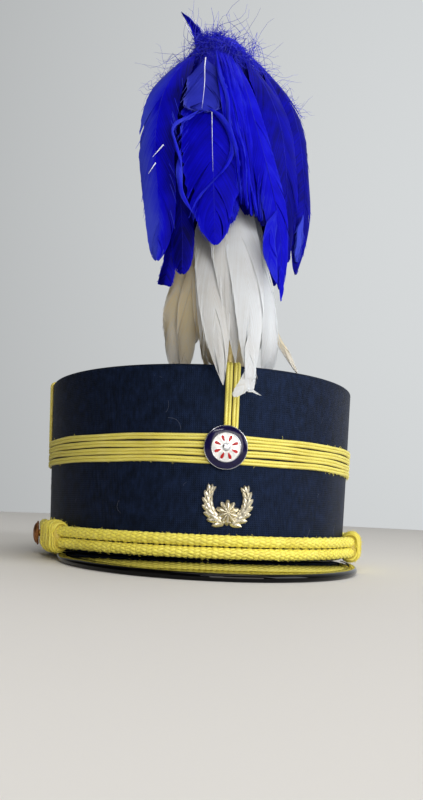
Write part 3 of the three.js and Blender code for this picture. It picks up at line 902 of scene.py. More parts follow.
@dataclass
class Peak:
    """The patent leather board and the rolled binding along its edge."""

    half_width: float = 82.0
    set_forward: float = 46.0
    root_span: float = 64.0
    tuck: float = 2.5
    thickness: float = 2.2
    arch: float = 0.8
    max_slope: float = 0.2
    binding_radius: float = 1.9
    binding_skin: float = 0.5
    binding_lip: float = 2.2
    steps: int = 180
    board_steps: int = 16

    def __post_init__(self) -> None:
        """Cuts the peak across from its left end to its right end and measures each cut."""
        side = np.linspace(-1.0, 1.0, self.steps)
        turn = side * math.pi / 2.0
        length = HAT.half_length + HAT.peak_reach - self.set_forward
        zero = np.zeros_like(side)
        self.outer = np.stack([self.half_width * np.sin(turn), -length * np.cos(turn) - self.set_forward,
                               zero], -1)
        self.normal = unit(np.stack([np.sin(turn) / self.half_width, -np.cos(turn) / length, zero], -1))
        self.root = HAT.wall_point(side * math.radians(self.root_span), 0.0, -self.tuck)
        self.end = self.outer - self.normal * (self.binding_radius + HAT.gap)
        span = np.linalg.norm(self.root - self.end, axis=-1)
        self.edge = HAT.floor_height(self.outer[:, 1]) + self.binding_radius
        self.root_height = np.minimum(-HAT.gap - self.thickness / 2.0, self.edge + self.max_slope * span)
        self.bow = self.arch * span / HAT.peak_reach
        self.slope = (self.edge - self.root_height - 4.0 * self.bow) / span

    def build_board(self) -> None:
        """Builds the arched board."""
        share = np.linspace(0.0, 1.0, self.board_steps)
        share = np.concatenate([share, share[::-1]])
        side = np.repeat([-0.5, 0.5], self.board_steps)
        rings = self.root[:, None] + (self.end - self.root)[:, None] * share[:, None]
        middle = (self.root_height[:, None] + share * (self.edge - self.root_height)[:, None]
                  + 4.0 * self.bow[:, None] * share * (1.0 - share))
        rings[..., 2] = middle + side * self.thickness
        make_piece("peak_board", skin(rings[None]), LACQUER, Slot.LEATHER, "peak")

    def build_binding(self) -> None:
        """Builds the binding, which wraps the board's edge."""
        radius, lip = self.binding_radius, self.binding_lip
        inside = radius - self.binding_skin
        x, y = np.array([
            (-lip, radius - 0.15),
            (-lip + 0.25, radius),
            *arc((0.0, 0.0), radius, 90.0, -90.0, 15),
            (-lip + 0.25, -radius),
            (-lip, -radius + 0.15),
            (-lip, -inside),
            *arc((0.0, 0.0), inside, -90.0, 90.0, 7),
            (-lip, inside),
        ]).T
        rings = self.outer[:, None] + self.normal[:, None] * (x - radius)[:, None]
        rings[..., 2] = self.edge[:, None] + y + self.slope[:, None] * np.minimum(x, 0.0)
        form = skin(HAT.on_floor(rings)[None])
        make_piece("peak_binding_roll", form, BINDING_LACQUER, Slot.LEATHER, "peak_binding")

    def build(self) -> None:
        """Builds the board and its binding."""
        self.build_board()
        self.build_binding()


# Soutache


@dataclass
class Soutache:
    """Four braids round the crown and three upright pairs."""

    width: float = 3.35
    thickness: float = 1.5
    groove: float = 0.35
    spacing: float = 3.75
    band_centre: float = 54.4
    band_rows: int = 4
    band_sway: float = 0.12
    upright_overlap: float = 6.5
    foot_gap: float = 0.12
    plait_mm: float = 1.5
    plait_relief: float = 0.2
    step: float = 0.5
    fray_count: int = 150
    seed: int = 23
    # Place and angle of each upright pair, and the names of its left and right braids
    pairs: tuple[tuple[str, float, tuple[str, str]], ...] = (
        ("front", 0.0, ("left", "right")),
        ("left", -90.0, ("back", "front")),
        ("right", 90.0, ("front", "back")),
    )

    def section(self, travel: Array) -> tuple[Array, Array, Array]:
        """Gives the braid's section at each step: two plaited ribs over a flat back.

        Args:
            travel: distance of each step along the braid.

        Returns:
            Height off the wall, distance across the braid, and a tone of painted shade and light, as steps x
            corners.
        """
        half = self.width / 4.0
        turns = np.radians(np.linspace(180.0, 0.0, 6))
        rib = np.stack([np.cos(turns), np.sin(turns)], axis=-1)
        rib[3:, 1] = self.groove + (1.0 - self.groove) * rib[3:, 1]
        left = rib * (half, 1.0) - (half, 0.0)
        right = left[-2::-1] * (-1.0, 1.0)
        foot = 0.45 * self.width
        across, crest = np.concatenate([left, right, [(foot, 0.0), (-foot, 0.0)]]).T
        body = 0.3 + (self.thickness - 0.3) * crest
        slant = np.abs(across) / self.plait_mm
        wave = np.cos(FULL_TURN * (travel[:, None] / self.plait_mm + 1.1 * slant))
        height = HAT.gap + body + self.plait_relief * wave * crest
        height[:, -2:] = self.foot_gap
        # The tone paints shade into the groove, the ribs' edges and the plait's dips, and light on the crests.
        tone = np.clip(0.08 + 0.7 * crest + 0.3 * wave * crest, 0.0, 1.0)
        return height, np.broadcast_to(across, height.shape), tone

    def build_band(self) -> None:
        """Builds the four braids that run round the crown."""
        rng = np.random.default_rng(self.seed)
        angles = HAT.even_angles(self.step)
        travel = self.step * np.arange(len(angles))
        girth = travel[-1] + self.step
        plaits = round(travel[-1] / self.plait_mm)
        height, across, tone = self.section(travel * plaits * self.plait_mm / girth)
        along = np.linspace(0.0, girth, len(angles) + 1)[None]
        for row in range(self.band_rows):
            middle = self.band_centre + self.spacing * (row - (self.band_rows - 1) / 2.0)
            sway = wobble(rng, travel, (girth / 4.0, girth / 7.0, girth / 13.0), self.band_sway)
            rings = HAT.wall_point(angles[:, None], middle + sway[:, None] + across, height)
            form = skin(rings[None], along, 2.0 * self.width, loop=True, tones=tone[None])
            make_piece(f"band_soutache_{row + 1}", form, SOUTACHE_YARN, Slot.BRAID, f"band_braid_{row + 1}",
                       crease=80.0)

    def build_upright(self, node: str, degrees: float, side: int) -> None:
        """Builds one upright braid, from the band, over the top edge and onto the top.

        Args:
            node: node that it stands for.
            degrees: its place round the crown.
            side: -1 or 1, the left or right one of its pair.
        """
        r = HAT.edge_round
        foot = self.band_centre + self.spacing * self.band_rows / 2.0 + HAT.gap
        rise = np.arange(foot, HAT.height - r, self.step)
        bend = np.radians(np.linspace(0.0, 90.0, 9))
        inward = np.arange(self.step, self.upright_overlap - r, self.step)
        out = np.concatenate([np.zeros_like(rise), r * np.cos(bend) - r, -r - inward])
        z = np.concatenate([rise, HAT.height - r + r * np.sin(bend), np.full_like(inward, HAT.height)])
        lean = np.concatenate([np.zeros_like(rise), bend, np.full_like(inward, math.pi / 2.0)])
        travel = self.step * np.arange(len(out))
        height, across, tone = self.section(travel)
        tuck = np.clip((travel[-1] - travel) / 2.5, 0.25, 1.0)[:, None]
        height = self.foot_gap + (height - self.foot_gap) * tuck
        middle = math.radians(degrees)
        aside = (across + side * self.spacing / 2.0) / HAT.wall_rate(middle)
        rings = HAT.wall_point(middle + aside, z[:, None] + height * np.sin(lean)[:, None],
                               out[:, None] + height * np.cos(lean)[:, None])
        form = skin(rings[None], travel[None], 2.0 * self.width, tones=tone[None])
        make_piece(node.replace("braid", "soutache"), form, SOUTACHE_YARN, Slot.BRAID, node, crease=80.0)

    def build_fray(self) -> None:
        """Lets short ends of yarn stand out of the band, most of them at the viewer's right."""
        rng = np.random.default_rng(self.seed + 5)
        count = self.fray_count
        turn = np.radians(np.where(rng.random(count) < 0.6, rng.uniform(38.0, 86.0, count),
                                   rng.uniform(-180.0, 180.0, count)))
        edge = rng.choice([-1.0, 1.0], count, p=[0.65, 0.35])
        z = self.band_centre + edge * self.spacing * self.band_rows / 2.0 * rng.uniform(0.9, 1.0, count)
        share = np.linspace(0.0, 1.0, 5)[None]
        length = rng.uniform(0.7, 2.0, count)[:, None]
        aside = length * share * rng.uniform(-0.9, 0.9, count)[:, None] / HAT.wall_rate(turn)[:, None]
        rise = length * edge[:, None] * share * rng.uniform(0.2, 0.9, count)[:, None]
        off = 1.2 + length * 0.5 * share - 0.7 * share ** 2
        paths = HAT.wall_point(turn[:, None] + aside, z[:, None] + rise, off)
        form = rods(paths, UP, 0.09, 0.09, 3, tones=np.full((count, 1), 0.8))
        make_piece("band_fray", form, SOUTACHE_YARN, Slot.BRAID)

    def build(self) -> None:
        """Builds the band, the uprights and the frayed ends."""
        self.build_band()
        for hand, degrees, names in self.pairs:
            for name, side in zip(names, (-1, 1)):
                self.build_upright(f"{hand}_braid_{name}", degrees, side)
        self.build_fray()


# Badges


@dataclass
class Cockade:
    """A round badge of silver plate with navy, white and red enamel."""

    angle: float = -1.6
    height: float = 55.3
    out: float = 2.1
    radius: float = 11.1
    petals: int = 8
    petal_length: float = 3.6
    petal_width: float = 2.0
    petal_centre: float = 4.5
    petal_pads: tuple[Point, ...] = ((1.0, -0.4), (1.0, 0.04), (0.8, 0.12), (0.4, 0.16), (0.05, 0.17))
    boss_radius: float = 2.0
    wire_lift: float = 0.1
    corners: int = 72

    def piece(self, name: str, form: Form, finish: Finish, *replaced: str) -> None:
        """Seats a form, made with its back at height 0, on the braid band and makes a piece of it."""
        form.points = HAT.seat(form.points, math.radians(self.angle), self.height, self.out)
        make_piece(name, form, finish, Slot.ENAMEL, *replaced)

    def dome(self, radius: Array) -> Array:
        """Height of the enamelled face at a distance from its middle."""
        return 2.9 - 1.35 * (radius / 10.0) ** 2

    def on_dome(self, flat: Array, lift: float) -> Array:
        """Lifts flat points onto the enamelled face."""
        height = self.dome(np.linalg.norm(flat, axis=-1)) + lift
        return np.concatenate([flat, height[:, None]], axis=-1)

    def wire(self, flat: Array, size: float, corners: int) -> Form:
        """Runs a closed wire along flat points, just proud of the face."""
        return rods(self.on_dome(flat, self.wire_lift)[None], UP, size, size, corners, loop=True)

    def petal_outline(self, turn: float, grow: float) -> Array:
        """Traces a pointed petal on the face.

        Args:
            turn: its direction from the middle in radians.
            grow: how far the outline is set out from the petal's edge.

        Returns:
            Points round the petal.
        """
        t = lap(24)
        x = self.petal_centre + (self.petal_length / 2.0 + grow) * np.cos(t)
        y = (self.petal_width / 2.0 + grow) * np.sin(t) * (0.72 + 0.28 * np.cos(t))
        c, s = math.cos(turn), math.sin(turn)
        return np.stack([x * c - y * s, x * s + y * c], axis=-1)

    def petal_pad(self, turn: float) -> Form:
        """Fills one petal with a low pad of enamel.

        Args:
            turn: its direction from the middle in radians.

        Returns:
            The pad.
        """
        edge = self.petal_outline(turn, 0.0)
        centre = edge.mean(axis=0)
        rings = [self.on_dome(centre + (edge - centre) * share, lift) for share, lift in self.petal_pads]
        return skin(np.array(rings)[None])

    def build(self) -> None:
        """Builds the metal, then each field of enamel."""
        r, b = self.radius, self.boss_radius
        dish = [(0.05, 0.0), (r - 0.3, 0.0), (r, 0.4), (r, 1.2), (r - 0.12, 1.55), (r - 0.32, 1.62),
                (r - 0.5, 1.4)]
        dish += [(x, float(self.dome(x)) - 0.35) for x in (10.3, 7.0, 4.0, 0.05)]
        boss = [(0.05, 2.0), (b, 2.2), (b, 2.95), (0.92 * b, 3.2), (0.7 * b, 3.42), (0.4 * b, 3.56),
                (0.05, 3.6)]
        turns = FULL_TURN * (np.arange(self.petals) + 0.5) / self.petals
        circle = np.stack([np.cos(lap(self.corners)), np.sin(lap(self.corners))], axis=-1)
        metal = [turned(dish, self.corners), turned(boss, 32), self.wire(7.35 * circle, 0.2, 8)]
        metal += [self.wire(self.petal_outline(t, 0.12), 0.16, 6) for t in turns]
        self.piece("cockade_plate", Form.join(metal), SILVER, "cockade")
        ring = [self.on_dome(x * circle, lift) for x, lift in
                ((7.4, -0.4), (10.55, -0.4), (10.55, -0.02), (9.8, 0.06), (8.2, 0.06), (7.4, 0.0))]
        self.piece("cockade_navy_ring", skin(np.stack(ring, axis=1)[None], loop=True), NAVY_ENAMEL)
        field = [(0.05, 2.0), (7.3, 1.9)]
        field += [(x, float(self.dome(x))) for x in (7.3, 6.0, 4.5, 3.0, 1.5, 0.05)]
        self.piece("cockade_white_field", turned(field, 64), WHITE_ENAMEL)
        self.piece("cockade_red_petals", Form.join([self.petal_pad(t) for t in turns]), RED_ENAMEL)


@dataclass
class WreathBadge:
    """A cast wreath of two leafy branches with a star at its foot."""

    height: float = 26.6
    out: float = 0.3
    half_width: float = 9.8
    half_height: float = 11.0
    rise: float = 2.8
    foot_angle: float = -86.0
    tip_angle: float = 30.0
    leaves: int = 7
    leaf_length: float = 6.2
    leaf_width: float = 3.6
    leaf_spread: float = 30.0
    relief: float = 1.2
    star_half_width: float = 5.8
    star_half_height: float = 6.4
    star_waist: float = 0.66
    star_drop: float = 3.4
    star_relief: float = 3.0
    star_points: int = 10
    # Share of the full outline, height and ridge of each ring of the star
    star_rings: tuple[Triple, ...] = (
        (1.0, 0.0, 0.0), (1.0, 0.6, 0.0), (0.75, 1.0, 0.9), (0.4, 1.8, 0.7), (0.03, 2.6, 0.0))

    def leaf(self, x: float, y: float, heading: float, lift: float, size: float) -> Form:
        """Makes a pointed leaf with a sharp midrib.

        Args:
            x: place of its foot to the right.
            y: place of its foot up the badge.
            heading: direction of its tip from straight up, in radians, to the left.
            lift: height of its back.
            size: its size, as a share of the full leaf.

        Returns:
            The leaf.
        """
        share = np.linspace(0.0, 1.0, 9)
        swell = np.sqrt(np.sin(math.pi * share ** 0.85) + 1e-4) * (1.0 - 0.35 * share)
        half = size * self.leaf_width / 2.0 * swell + 0.03
        crest = self.relief * np.sin(math.pi * (0.12 + 0.8 * share)) + 0.1
        top = lift + 0.35 * share ** 2
        along = size * self.leaf_length * (share - 0.08)
        zero = np.zeros_like(share)
        corners = ((-half, top + 0.25 * crest), (-half, zero), (half, zero), (half, top + 0.25 * crest),
                   (0.45 * half, top + 0.78 * crest), (zero, top + crest), (-0.45 * half, top + 0.78 * crest))
        rings = np.stack([np.stack([aside, along, height], -1) for aside, height in corners], axis=1)
        c, s = math.cos(heading), math.sin(heading)
        flat = rings[..., :2] @ np.array([[c, s], [-s, c]]) + np.array([x, y])
        return skin(np.concatenate([flat, rings[..., 2:]], axis=-1)[None])

    def branch(self, side: int) -> list[Form]:
        """Builds one branch, from the foot round to the open top.

        Args:
            side: -1 for the left branch, 1 for the right one.

        Returns:
            Its stem and leaves.
        """
        w, h = self.half_width, self.half_height
        angles = np.radians(np.linspace(self.foot_angle, self.tip_angle, 30))
        stem = np.stack([side * w * np.cos(angles), self.rise + h * np.sin(angles),
                         np.full_like(angles, 0.5)], -1)
        parts = [rods(stem[None], UP, 0.5, 0.5, 8)]
        for i in range(self.leaves):
            share = (i + 0.35) / self.leaves
            turn = math.radians(self.foot_angle + share * (self.tip_angle - self.foot_angle))
            x, y = side * w * math.cos(turn), self.rise + h * math.sin(turn)
            climb = math.degrees(math.atan2(w * math.sin(turn), h * math.cos(turn)))
            for spread, lift in ((-self.leaf_spread, 0.0), (self.leaf_spread, 0.05), (0.0, 0.35)):
                parts.append(self.leaf(x, y, side * math.radians(climb - spread), lift, 1.12 - 0.42 * share))
        return parts

    def star(self) -> Form:
        """Builds a star whose ridges fall from a raised middle.

        Returns:
            The star, closed at its back.
        """
        corners = 8 * self.star_points
        turns = FULL_TURN * np.arange(corners) / corners
        lobe = np.abs(np.cos(self.star_points * turns / 2.0)) ** 0.8
        size = self.star_waist + (1.0 - self.star_waist) * lobe
        flat = np.stack([-self.star_half_width * size * np.sin(turns),
                         self.star_half_height * size * np.cos(turns)], axis=-1)
        rings = []
        for share, height, ridge in self.star_rings:
            lift = self.star_relief / 2.7 * (height + ridge * lobe)
            rings.append(np.concatenate([flat * share - (0.0, self.star_drop), lift[:, None]], axis=-1))
        return skin(np.array(rings)[None])

    def build(self) -> None:
        """Builds the badge as one casting."""
        form = Form.join([*self.branch(-1), *self.branch(1), self.star()])
        form.points = HAT.seat(form.points, 0.0, self.height, self.out)
        make_piece("wreath_casting", form, GILT, Slot.GILT, "wreath_badge", crease=12.0)


# Chin cord


@dataclass
class ChinCord:
    """The doubled braided cord, its wound whips and the buttons that hold it."""

    radius: float = 2.85
    half_spacing: float = 3.0
    front_height: float = 6.4
    side_rise: float = 2.0
    stand_off: float = 3.3
    button_angle: float = 88.0
    loop_radius: float = 5.6
    whip_angle: float = 65.0
    whip_length: float = 18.0
    whip_wall: float = 1.7
    whip_bulge: float = 0.35
    whip_stand_off: float = 5.3
    whip_reach: float = 10.0
    run_stops: tuple[float, ...] = (0.0, 14.0, 28.0, 42.0, 52.0, 60.0, 70.0, 79.0)
    loop_stops: tuple[float, ...] = (125.0, 65.0, 0.0, -65.0, -125.0)
    full_radius: float = 2.98
    step: float = 1.0
    strands_each_way: int = 8
    plait_mm: float = 45.0
    strand_half_width: float = 0.84
    strand_half_thick: float = 0.52
    plait_depth: float = 0.36
    under_share: float = 0.92
    under_sink: float = 0.06
    fuzz_count: int = 600
    yarn_size: float = 0.5
    # Pitch in yarn sizes, slant and height of each layer of a whip
    whip_layers: tuple[Triple, ...] = ((1.8, 0.5, 0.0), (4.4, 2.6, 0.35), (5.2, -2.4, 0.6))
    whip_fuzz: int = 110
    button_radius: float = 7.0
    shank_radius: float = 2.0
    # Share of the radius and height over its back of each ring of a button's rim
    button_rim: tuple[Point, ...] = (
        (0.9, 0.0), (0.97, 0.15), (1.0, 0.5), (1.0, 0.8), (0.96, 1.1), (0.9, 1.2), (0.87, 1.05))
    seed: int = 37

    def __post_init__(self) -> None:
        """Lays the cord's route and its directions: along it, off the wall and across both."""
        self.route = self.smooth_route()
        self.forward = unit(np.roll(self.route, -1, axis=0) - np.roll(self.route, 1, axis=0))
        x, y = self.route[:, 0] / HAT.half_width, self.route[:, 1] / HAT.half_length
        self.aside = unit(np.cross(self.forward, HAT.wall_normal(np.arctan2(x, -y))))
        self.off = np.cross(self.aside, self.forward)

    def height(self, angle: Array) -> Array:
        """Height of the cord's middle line at an angle in radians."""
        return self.front_height + self.side_rise * (angle / math.radians(self.button_angle)) ** 2

    def stand(self, angle: Array) -> Array:
        """Distance of the cord's middle off the wall, larger where a whip goes round it."""
        share = (np.abs(np.degrees(angle)) - self.whip_angle) / self.whip_reach
        return self.stand_off + (self.whip_stand_off - self.stand_off) * np.exp(-share ** 4)

    def run(self, angle: Array, up: float) -> Array:
        """Points on the upper run, with up 1, or on the lower one, with up -1."""
        return HAT.wall_point(angle, self.height(angle) + up * self.half_spacing, self.stand(angle))

    def loop(self, side: int, turn: Array) -> Array:
        """Gives points on the loop round one button.

        Args:
            side: -1 for the left button, 1 for the right one.
            turn: angles round the button in radians.

        Returns:
            Points in the hat's frame.
        """
        button = side * math.radians(self.button_angle)
        aside = side * (self.loop_radius * np.cos(turn) / HAT.wall_rate(button))
        rise = self.loop_radius * np.sin(turn)
        return HAT.wall_point(button + aside, self.height(button) + rise, self.stand_off)

    def smooth_route(self) -> Array:
        """Runs a smooth closed curve along the upper run, the right loop, the lower run and the left loop.

        Returns:
            Points about one step apart.
        """
        run, turn = np.radians(self.run_stops), np.radians(self.loop_stops)
        p1 = np.concatenate([self.run(run, 1.0), self.loop(1, turn), self.run(run[::-1], -1.0),
                             self.run(-run[1:], -1.0), self.loop(-1, turn[::-1]), self.run(-run[:0:-1], 1.0)])
        p0, p2, p3 = (np.roll(p1, shift, axis=0) for shift in (1, -1, -2))
        d0, d1, d2 = (np.sqrt(np.linalg.norm(b - a, axis=-1))[:, None]
                      for a, b in ((p0, p1), (p1, p2), (p2, p3)))
        start = d1 * ((p1 - p0) / d0 - (p2 - p0) / (d0 + d1) + (p2 - p1) / d1)
        end = d1 * ((p2 - p1) / d1 - (p3 - p1) / (d1 + d2) + (p3 - p2) / d2)
        t = np.linspace(0.0, 1.0, 40, endpoint=False)[:, None, None]
        curve = (p1 + start * t + (3.0 * (p2 - p1) - 2.0 * start - end) * t ** 2
                 + (2.0 * (p1 - p2) + start + end) * t ** 3)
        fine = curve.transpose(1, 0, 2).reshape(-1, 3)
        closed = np.concatenate([fine, fine[:1]])
        travel = travelled(closed)
        count = round(travel[-1] / self.step)
        even = np.arange(count) * travel[-1] / count
        return np.stack([np.interp(even, travel, closed[:, i]) for i in range(3)], axis=-1)

    def build_cord(self) -> None:
        """Plaits the cord of strands that cross over and under each other round a core."""
        count = len(self.route)
        plaits = round(count * self.step / self.plait_mm)
        phase = FULL_TURN * plaits * np.arange(count) / count
        middle = self.full_radius - self.plait_depth - self.strand_half_thick
        n = self.strands_each_way
        paths, outward, tones, widths = [], [], [], []
        for way, sink, share in ((1.0, 0.0, 1.0), (-1.0, self.under_sink, self.under_share)):
            over = way * np.cos(n * phase)
            for k in range(n):
                turn = way * phase + FULL_TURN * k / n
                radial = self.off * np.cos(turn)[:, None] + self.aside * np.sin(turn)[:, None]
                paths.append(self.route + radial * (middle - sink + self.plait_depth * over)[:, None])
                outward.append(radial)
                # Strands that dip under take a lower tone, painted shade in the pits of the plait.
                tones.append(0.68 + 0.44 * over - sink)
                widths.append([self.strand_half_width * share])
        strands = rods(np.array(paths), np.array(outward), np.array(widths), self.strand_half_thick, 6,
                       loop=True, tones=np.array(tones))
        # The core takes the lowest tone, a dark body that stands for the shade deep between the strands.
        core = rods(self.route[None, ::2], self.off[None, ::2], middle - 0.1, middle - 0.1, 10, loop=True,
                    tones=np.zeros((1, 1)))
        make_piece("chin_cord_plait", Form.join([strands, core]), CORD_YARN, Slot.CORD, "chin_cord",
                   crease=80.0)

    def build_fuzz(self) -> None:
        """Lets short fibres stand out of the cord."""
        rng = np.random.default_rng(self.seed)
        count = self.fuzz_count
        at = rng.integers(0, len(self.route), count)
        aside = self.aside[at]
        turn = rng.uniform(-0.6 * math.pi, 0.6 * math.pi, count)
        radial = self.off[at] * np.cos(turn)[:, None] + aside * np.sin(turn)[:, None]
        lean = self.forward[at] * rng.uniform(-1.2, 1.2, count)[:, None]
        length = rng.uniform(0.6, 1.9, count)[:, None, None]
        share = np.linspace(0.0, 1.0, 4)[None, :, None]
        paths = (self.route[at] + radial * (self.radius - 0.25))[:, None] + length * share * (
            radial[:, None] * (1.0 - 0.4 * share) + lean[:, None] * (0.3 + 0.7 * share))
        form = rods(paths, aside[:, None], 0.065, 0.065, 3, tones=np.full((count, 1), 0.85))
        make_piece("chin_cord_fuzz", form, CORD_YARN, Slot.CORD)

    def whip_rise(self, radius: Array, angle: Array) -> Array:
        """Height of a point round both runs over the middle between them."""
        return radius * np.sin(angle) + np.clip(3.0 * np.sin(angle), -1.0, 1.0) * self.half_spacing

    def whip_point(self, side: Side, along: Array, radius: Array, turn: Array) -> Array:
        """Gives points round both runs of the cord.

        Args:
            side: which whip.
            along: distance along the cord from the whip's middle.
            radius: distance from the nearer run's middle.
            turn: share of the way round, from 0 to 1.

        Returns:
            Points in the hat's frame.
        """
        full = np.linspace(0.0, FULL_TURN, 65)
        mean = self.radius + self.whip_wall
        travel = travelled(np.stack([mean * np.cos(full), self.whip_rise(mean, full)], axis=-1))
        angle = np.interp(turn % 1.0, travel / travel[-1], full)
        middle = side.value * math.radians(self.whip_angle)
        place = middle + along / HAT.wall_rate(middle)
        return HAT.wall_point(place, self.height(place) + self.whip_rise(radius, angle),
                              self.whip_stand_off + radius * np.cos(angle))

    def whip_swell(self, along: Array, rounding: float) -> Array:
        """Radius of a whip's sleeve, fuller in the middle and rounded off at both ends."""
        share = along / (self.whip_length / 2.0)
        return self.whip_wall - self.yarn_size - rounding * share ** 6 + self.whip_bulge * (1.0 - share ** 2)

    def build_whip(self, side: Side) -> None:
        """Winds one whip: a sleeve with yarn laid round it in crossing layers, and loose fibres.

        Args:
            side: which whip.
        """
        rng = np.random.default_rng(self.seed + 7 + side.value)
        half = self.whip_length / 2.0
        inner = self.radius + 0.2
        along = np.linspace(-half + 0.4, half - 0.4, 12)[:, None]
        turn = np.linspace(0.0, 1.0, 48, endpoint=False)
        rings = self.whip_point(side, along, inner + self.whip_swell(along, 0.7), turn[None])
        # The sleeve's low tone is painted shade where it shows between the windings.
        forms = [skin(rings[None], tones=np.full((1, 1, 1), 0.3))]
        middle = side.value * math.radians(self.whip_angle)
        for pitch, slant, lift in self.whip_layers:
            laps = round(self.whip_length / (pitch * self.yarn_size))
            turn = np.linspace(0.0, laps, laps * 40)
            place = (self.whip_length - 0.8) * (turn / laps - 0.5)
            place = np.clip(place + slant * np.sin(FULL_TURN * (turn + 0.21 * np.sin(0.9 * turn)))
                            + wobble(rng, turn, (2.3, 5.1), 0.22), -half, half)
            grow = self.whip_swell(place, 0.9) + lift + wobble(rng, turn, (1.3, 3.7), 0.1)
            yarn = self.whip_point(side, place, inner + grow + 0.55 * self.yarn_size, turn)
            heart = HAT.wall_point(middle + place / HAT.wall_rate(middle), self.height(middle),
                                   self.whip_stand_off)
            forms.append(rods(yarn[None], (yarn - heart)[None], self.yarn_size, self.yarn_size, 6,
                              tones=(0.66 + 0.25 * np.sin(turn * 1.7 + 9.0 * lift))[None]))
            at = rng.integers(0, len(yarn), self.whip_fuzz)
            way = unit(unit(yarn - heart)[at] + rng.normal(0.0, 0.6, (self.whip_fuzz, 3)))
            steps = np.linspace(0.0, 1.0, 4)[:, None] * rng.uniform(0.8, 2.2, (self.whip_fuzz, 1, 1))
            forms.append(rods(yarn[at][:, None] + way[:, None] * steps, way[:, None] + 0.5, 0.06, 0.06, 3,
                              tones=np.full((1, 1), 0.8)))
        node = f"cord_whip_{side.name.lower()}"
        make_piece(f"{node}_winding", Form.join(forms), CORD_YARN, Slot.CORD, node, crease=80.0)

    def build_button(self, side: Side) -> None:
        """Turns one domed button.

        Args:
            side: which button.
        """
        back = self.stand_off + self.radius + HAT.gap
        r, s = self.button_radius, self.shank_radius
        profile = [(0.05, HAT.gap), (s, HAT.gap), (s, back - 0.05)]
        profile += [(share * r, back + height) for share, height in self.button_rim]
        profile += [(0.86 * r * math.cos(t), back + 1.1 + 2.25 * math.sin(t))
                    for t in np.radians(np.linspace(0, 89.5, 14))]
        form = turned(profile, 64)
        angle = side.value * math.radians(self.button_angle)
        form.points = HAT.seat(form.points, angle, float(self.height(angle)), 0.0)
        hand = side.name.lower()
        make_piece(f"button_{hand}", form, OLD_BRASS, Slot.GILT, f"side_button_{hand}")

    def build(self) -> None:
        """Builds the cord, its fuzz, the whips and the buttons."""
        self.build_cord()
        self.build_fuzz()
        for side in Side:
            self.build_whip(side)
            self.build_button(side)


# Plume


# Places along a barb, from the shaft to the vane's edge
BARB_STEPS = np.array((0.0, 0.1, 0.24, 0.4, 0.57, 0.74, 0.88, 0.96, 1.0))
# Vanes narrower than this take every second step
NARROW_VANE = 5.0


@dataclass(frozen=True)
class Feather:
    """One feather: the stops that its shaft passes through and the shape of its vane.

    Each stop is an azimuth from the front to the viewer's right, a distance from the stem and a height.
    The vane looks away from the stem, or to the azimuth that faces names. Splits part it from edge to
    shaft, gape is how far they open, lean how far the parts lift. Fade lightens its tip and slope its
    right half (both darken when negative), and rim lightens its edges: painted light and shade.
    """

    stops: tuple[Triple, ...]
    width: float
    faces: float | None = None
    twist: float = 0.0
    roll: float = 0.0
    blunt: float = 6.0
    point: float = 0.5
    neck: float = 0.85
    tone: float = 0.5
    fade: float = 0.0
    slope: float = 0.0
    rim: float = 0.25
    sweep: float = 2.0
    cup: float = 0.3
    wave: float = 0.5
    shaft: float = 0.3
    splits: int = 3
    gape: float = 2.0
    lean: float = 0.4
    ragged: float = 0.03
    fringe: int = 26


@dataclass(frozen=True)
class Tier:
    """How hanging feathers leave the stem: rising to a shoulder, then falling over a belly."""

    root_radius: float
    root_height: float
    shoulder_share: float
    shoulder_rise: float
    belly_share: float

    def feather(self, azimuth: float, belly: float, tip_radius: float, tip_height: float, width: float,
                drift: float = 0.0, **shape: float) -> Feather:
        """Hangs one feather.

        Args:
            azimuth: its direction from the stem.
            belly: its largest distance from the stem.
            tip_radius: distance of its tip.
            tip_height: height of its tip.
            width: width of its vane.
            drift: how far it turns round the stem towards its tip.
            shape: other fields of the feather.

        Returns:
            The feather.
        """
        fall = self.root_height - tip_height
        bends = np.array([
            (self.root_radius, self.root_height),
            (self.shoulder_share * belly, self.root_height + self.shoulder_rise),
            (belly, tip_height + self.belly_share * fall),
            (tip_radius, tip_height),
        ])
        s = np.linspace(0.0, 1.0, 8)[:, None]
        curve = ((1 - s) ** 3 * bends[0] + 3 * s * (1 - s) ** 2 * bends[1] + 3 * s ** 2 * (1 - s) * bends[2]
                 + s ** 3 * bends[3])
        turn = azimuth + drift * s ** 2
        return Feather(tuple(map(tuple, np.concatenate([turn, curve], axis=1))), width, **shape)


BLUE_TIER = Tier(4.0, 166.0, 0.95, 4.0, 0.43)
CREST_TIER = Tier(2.0, 173.0, 0.75, 5.0, 0.55)
WHITE_TIER = Tier(5.0, 80.0, 0.6, 4.0, 0.5)

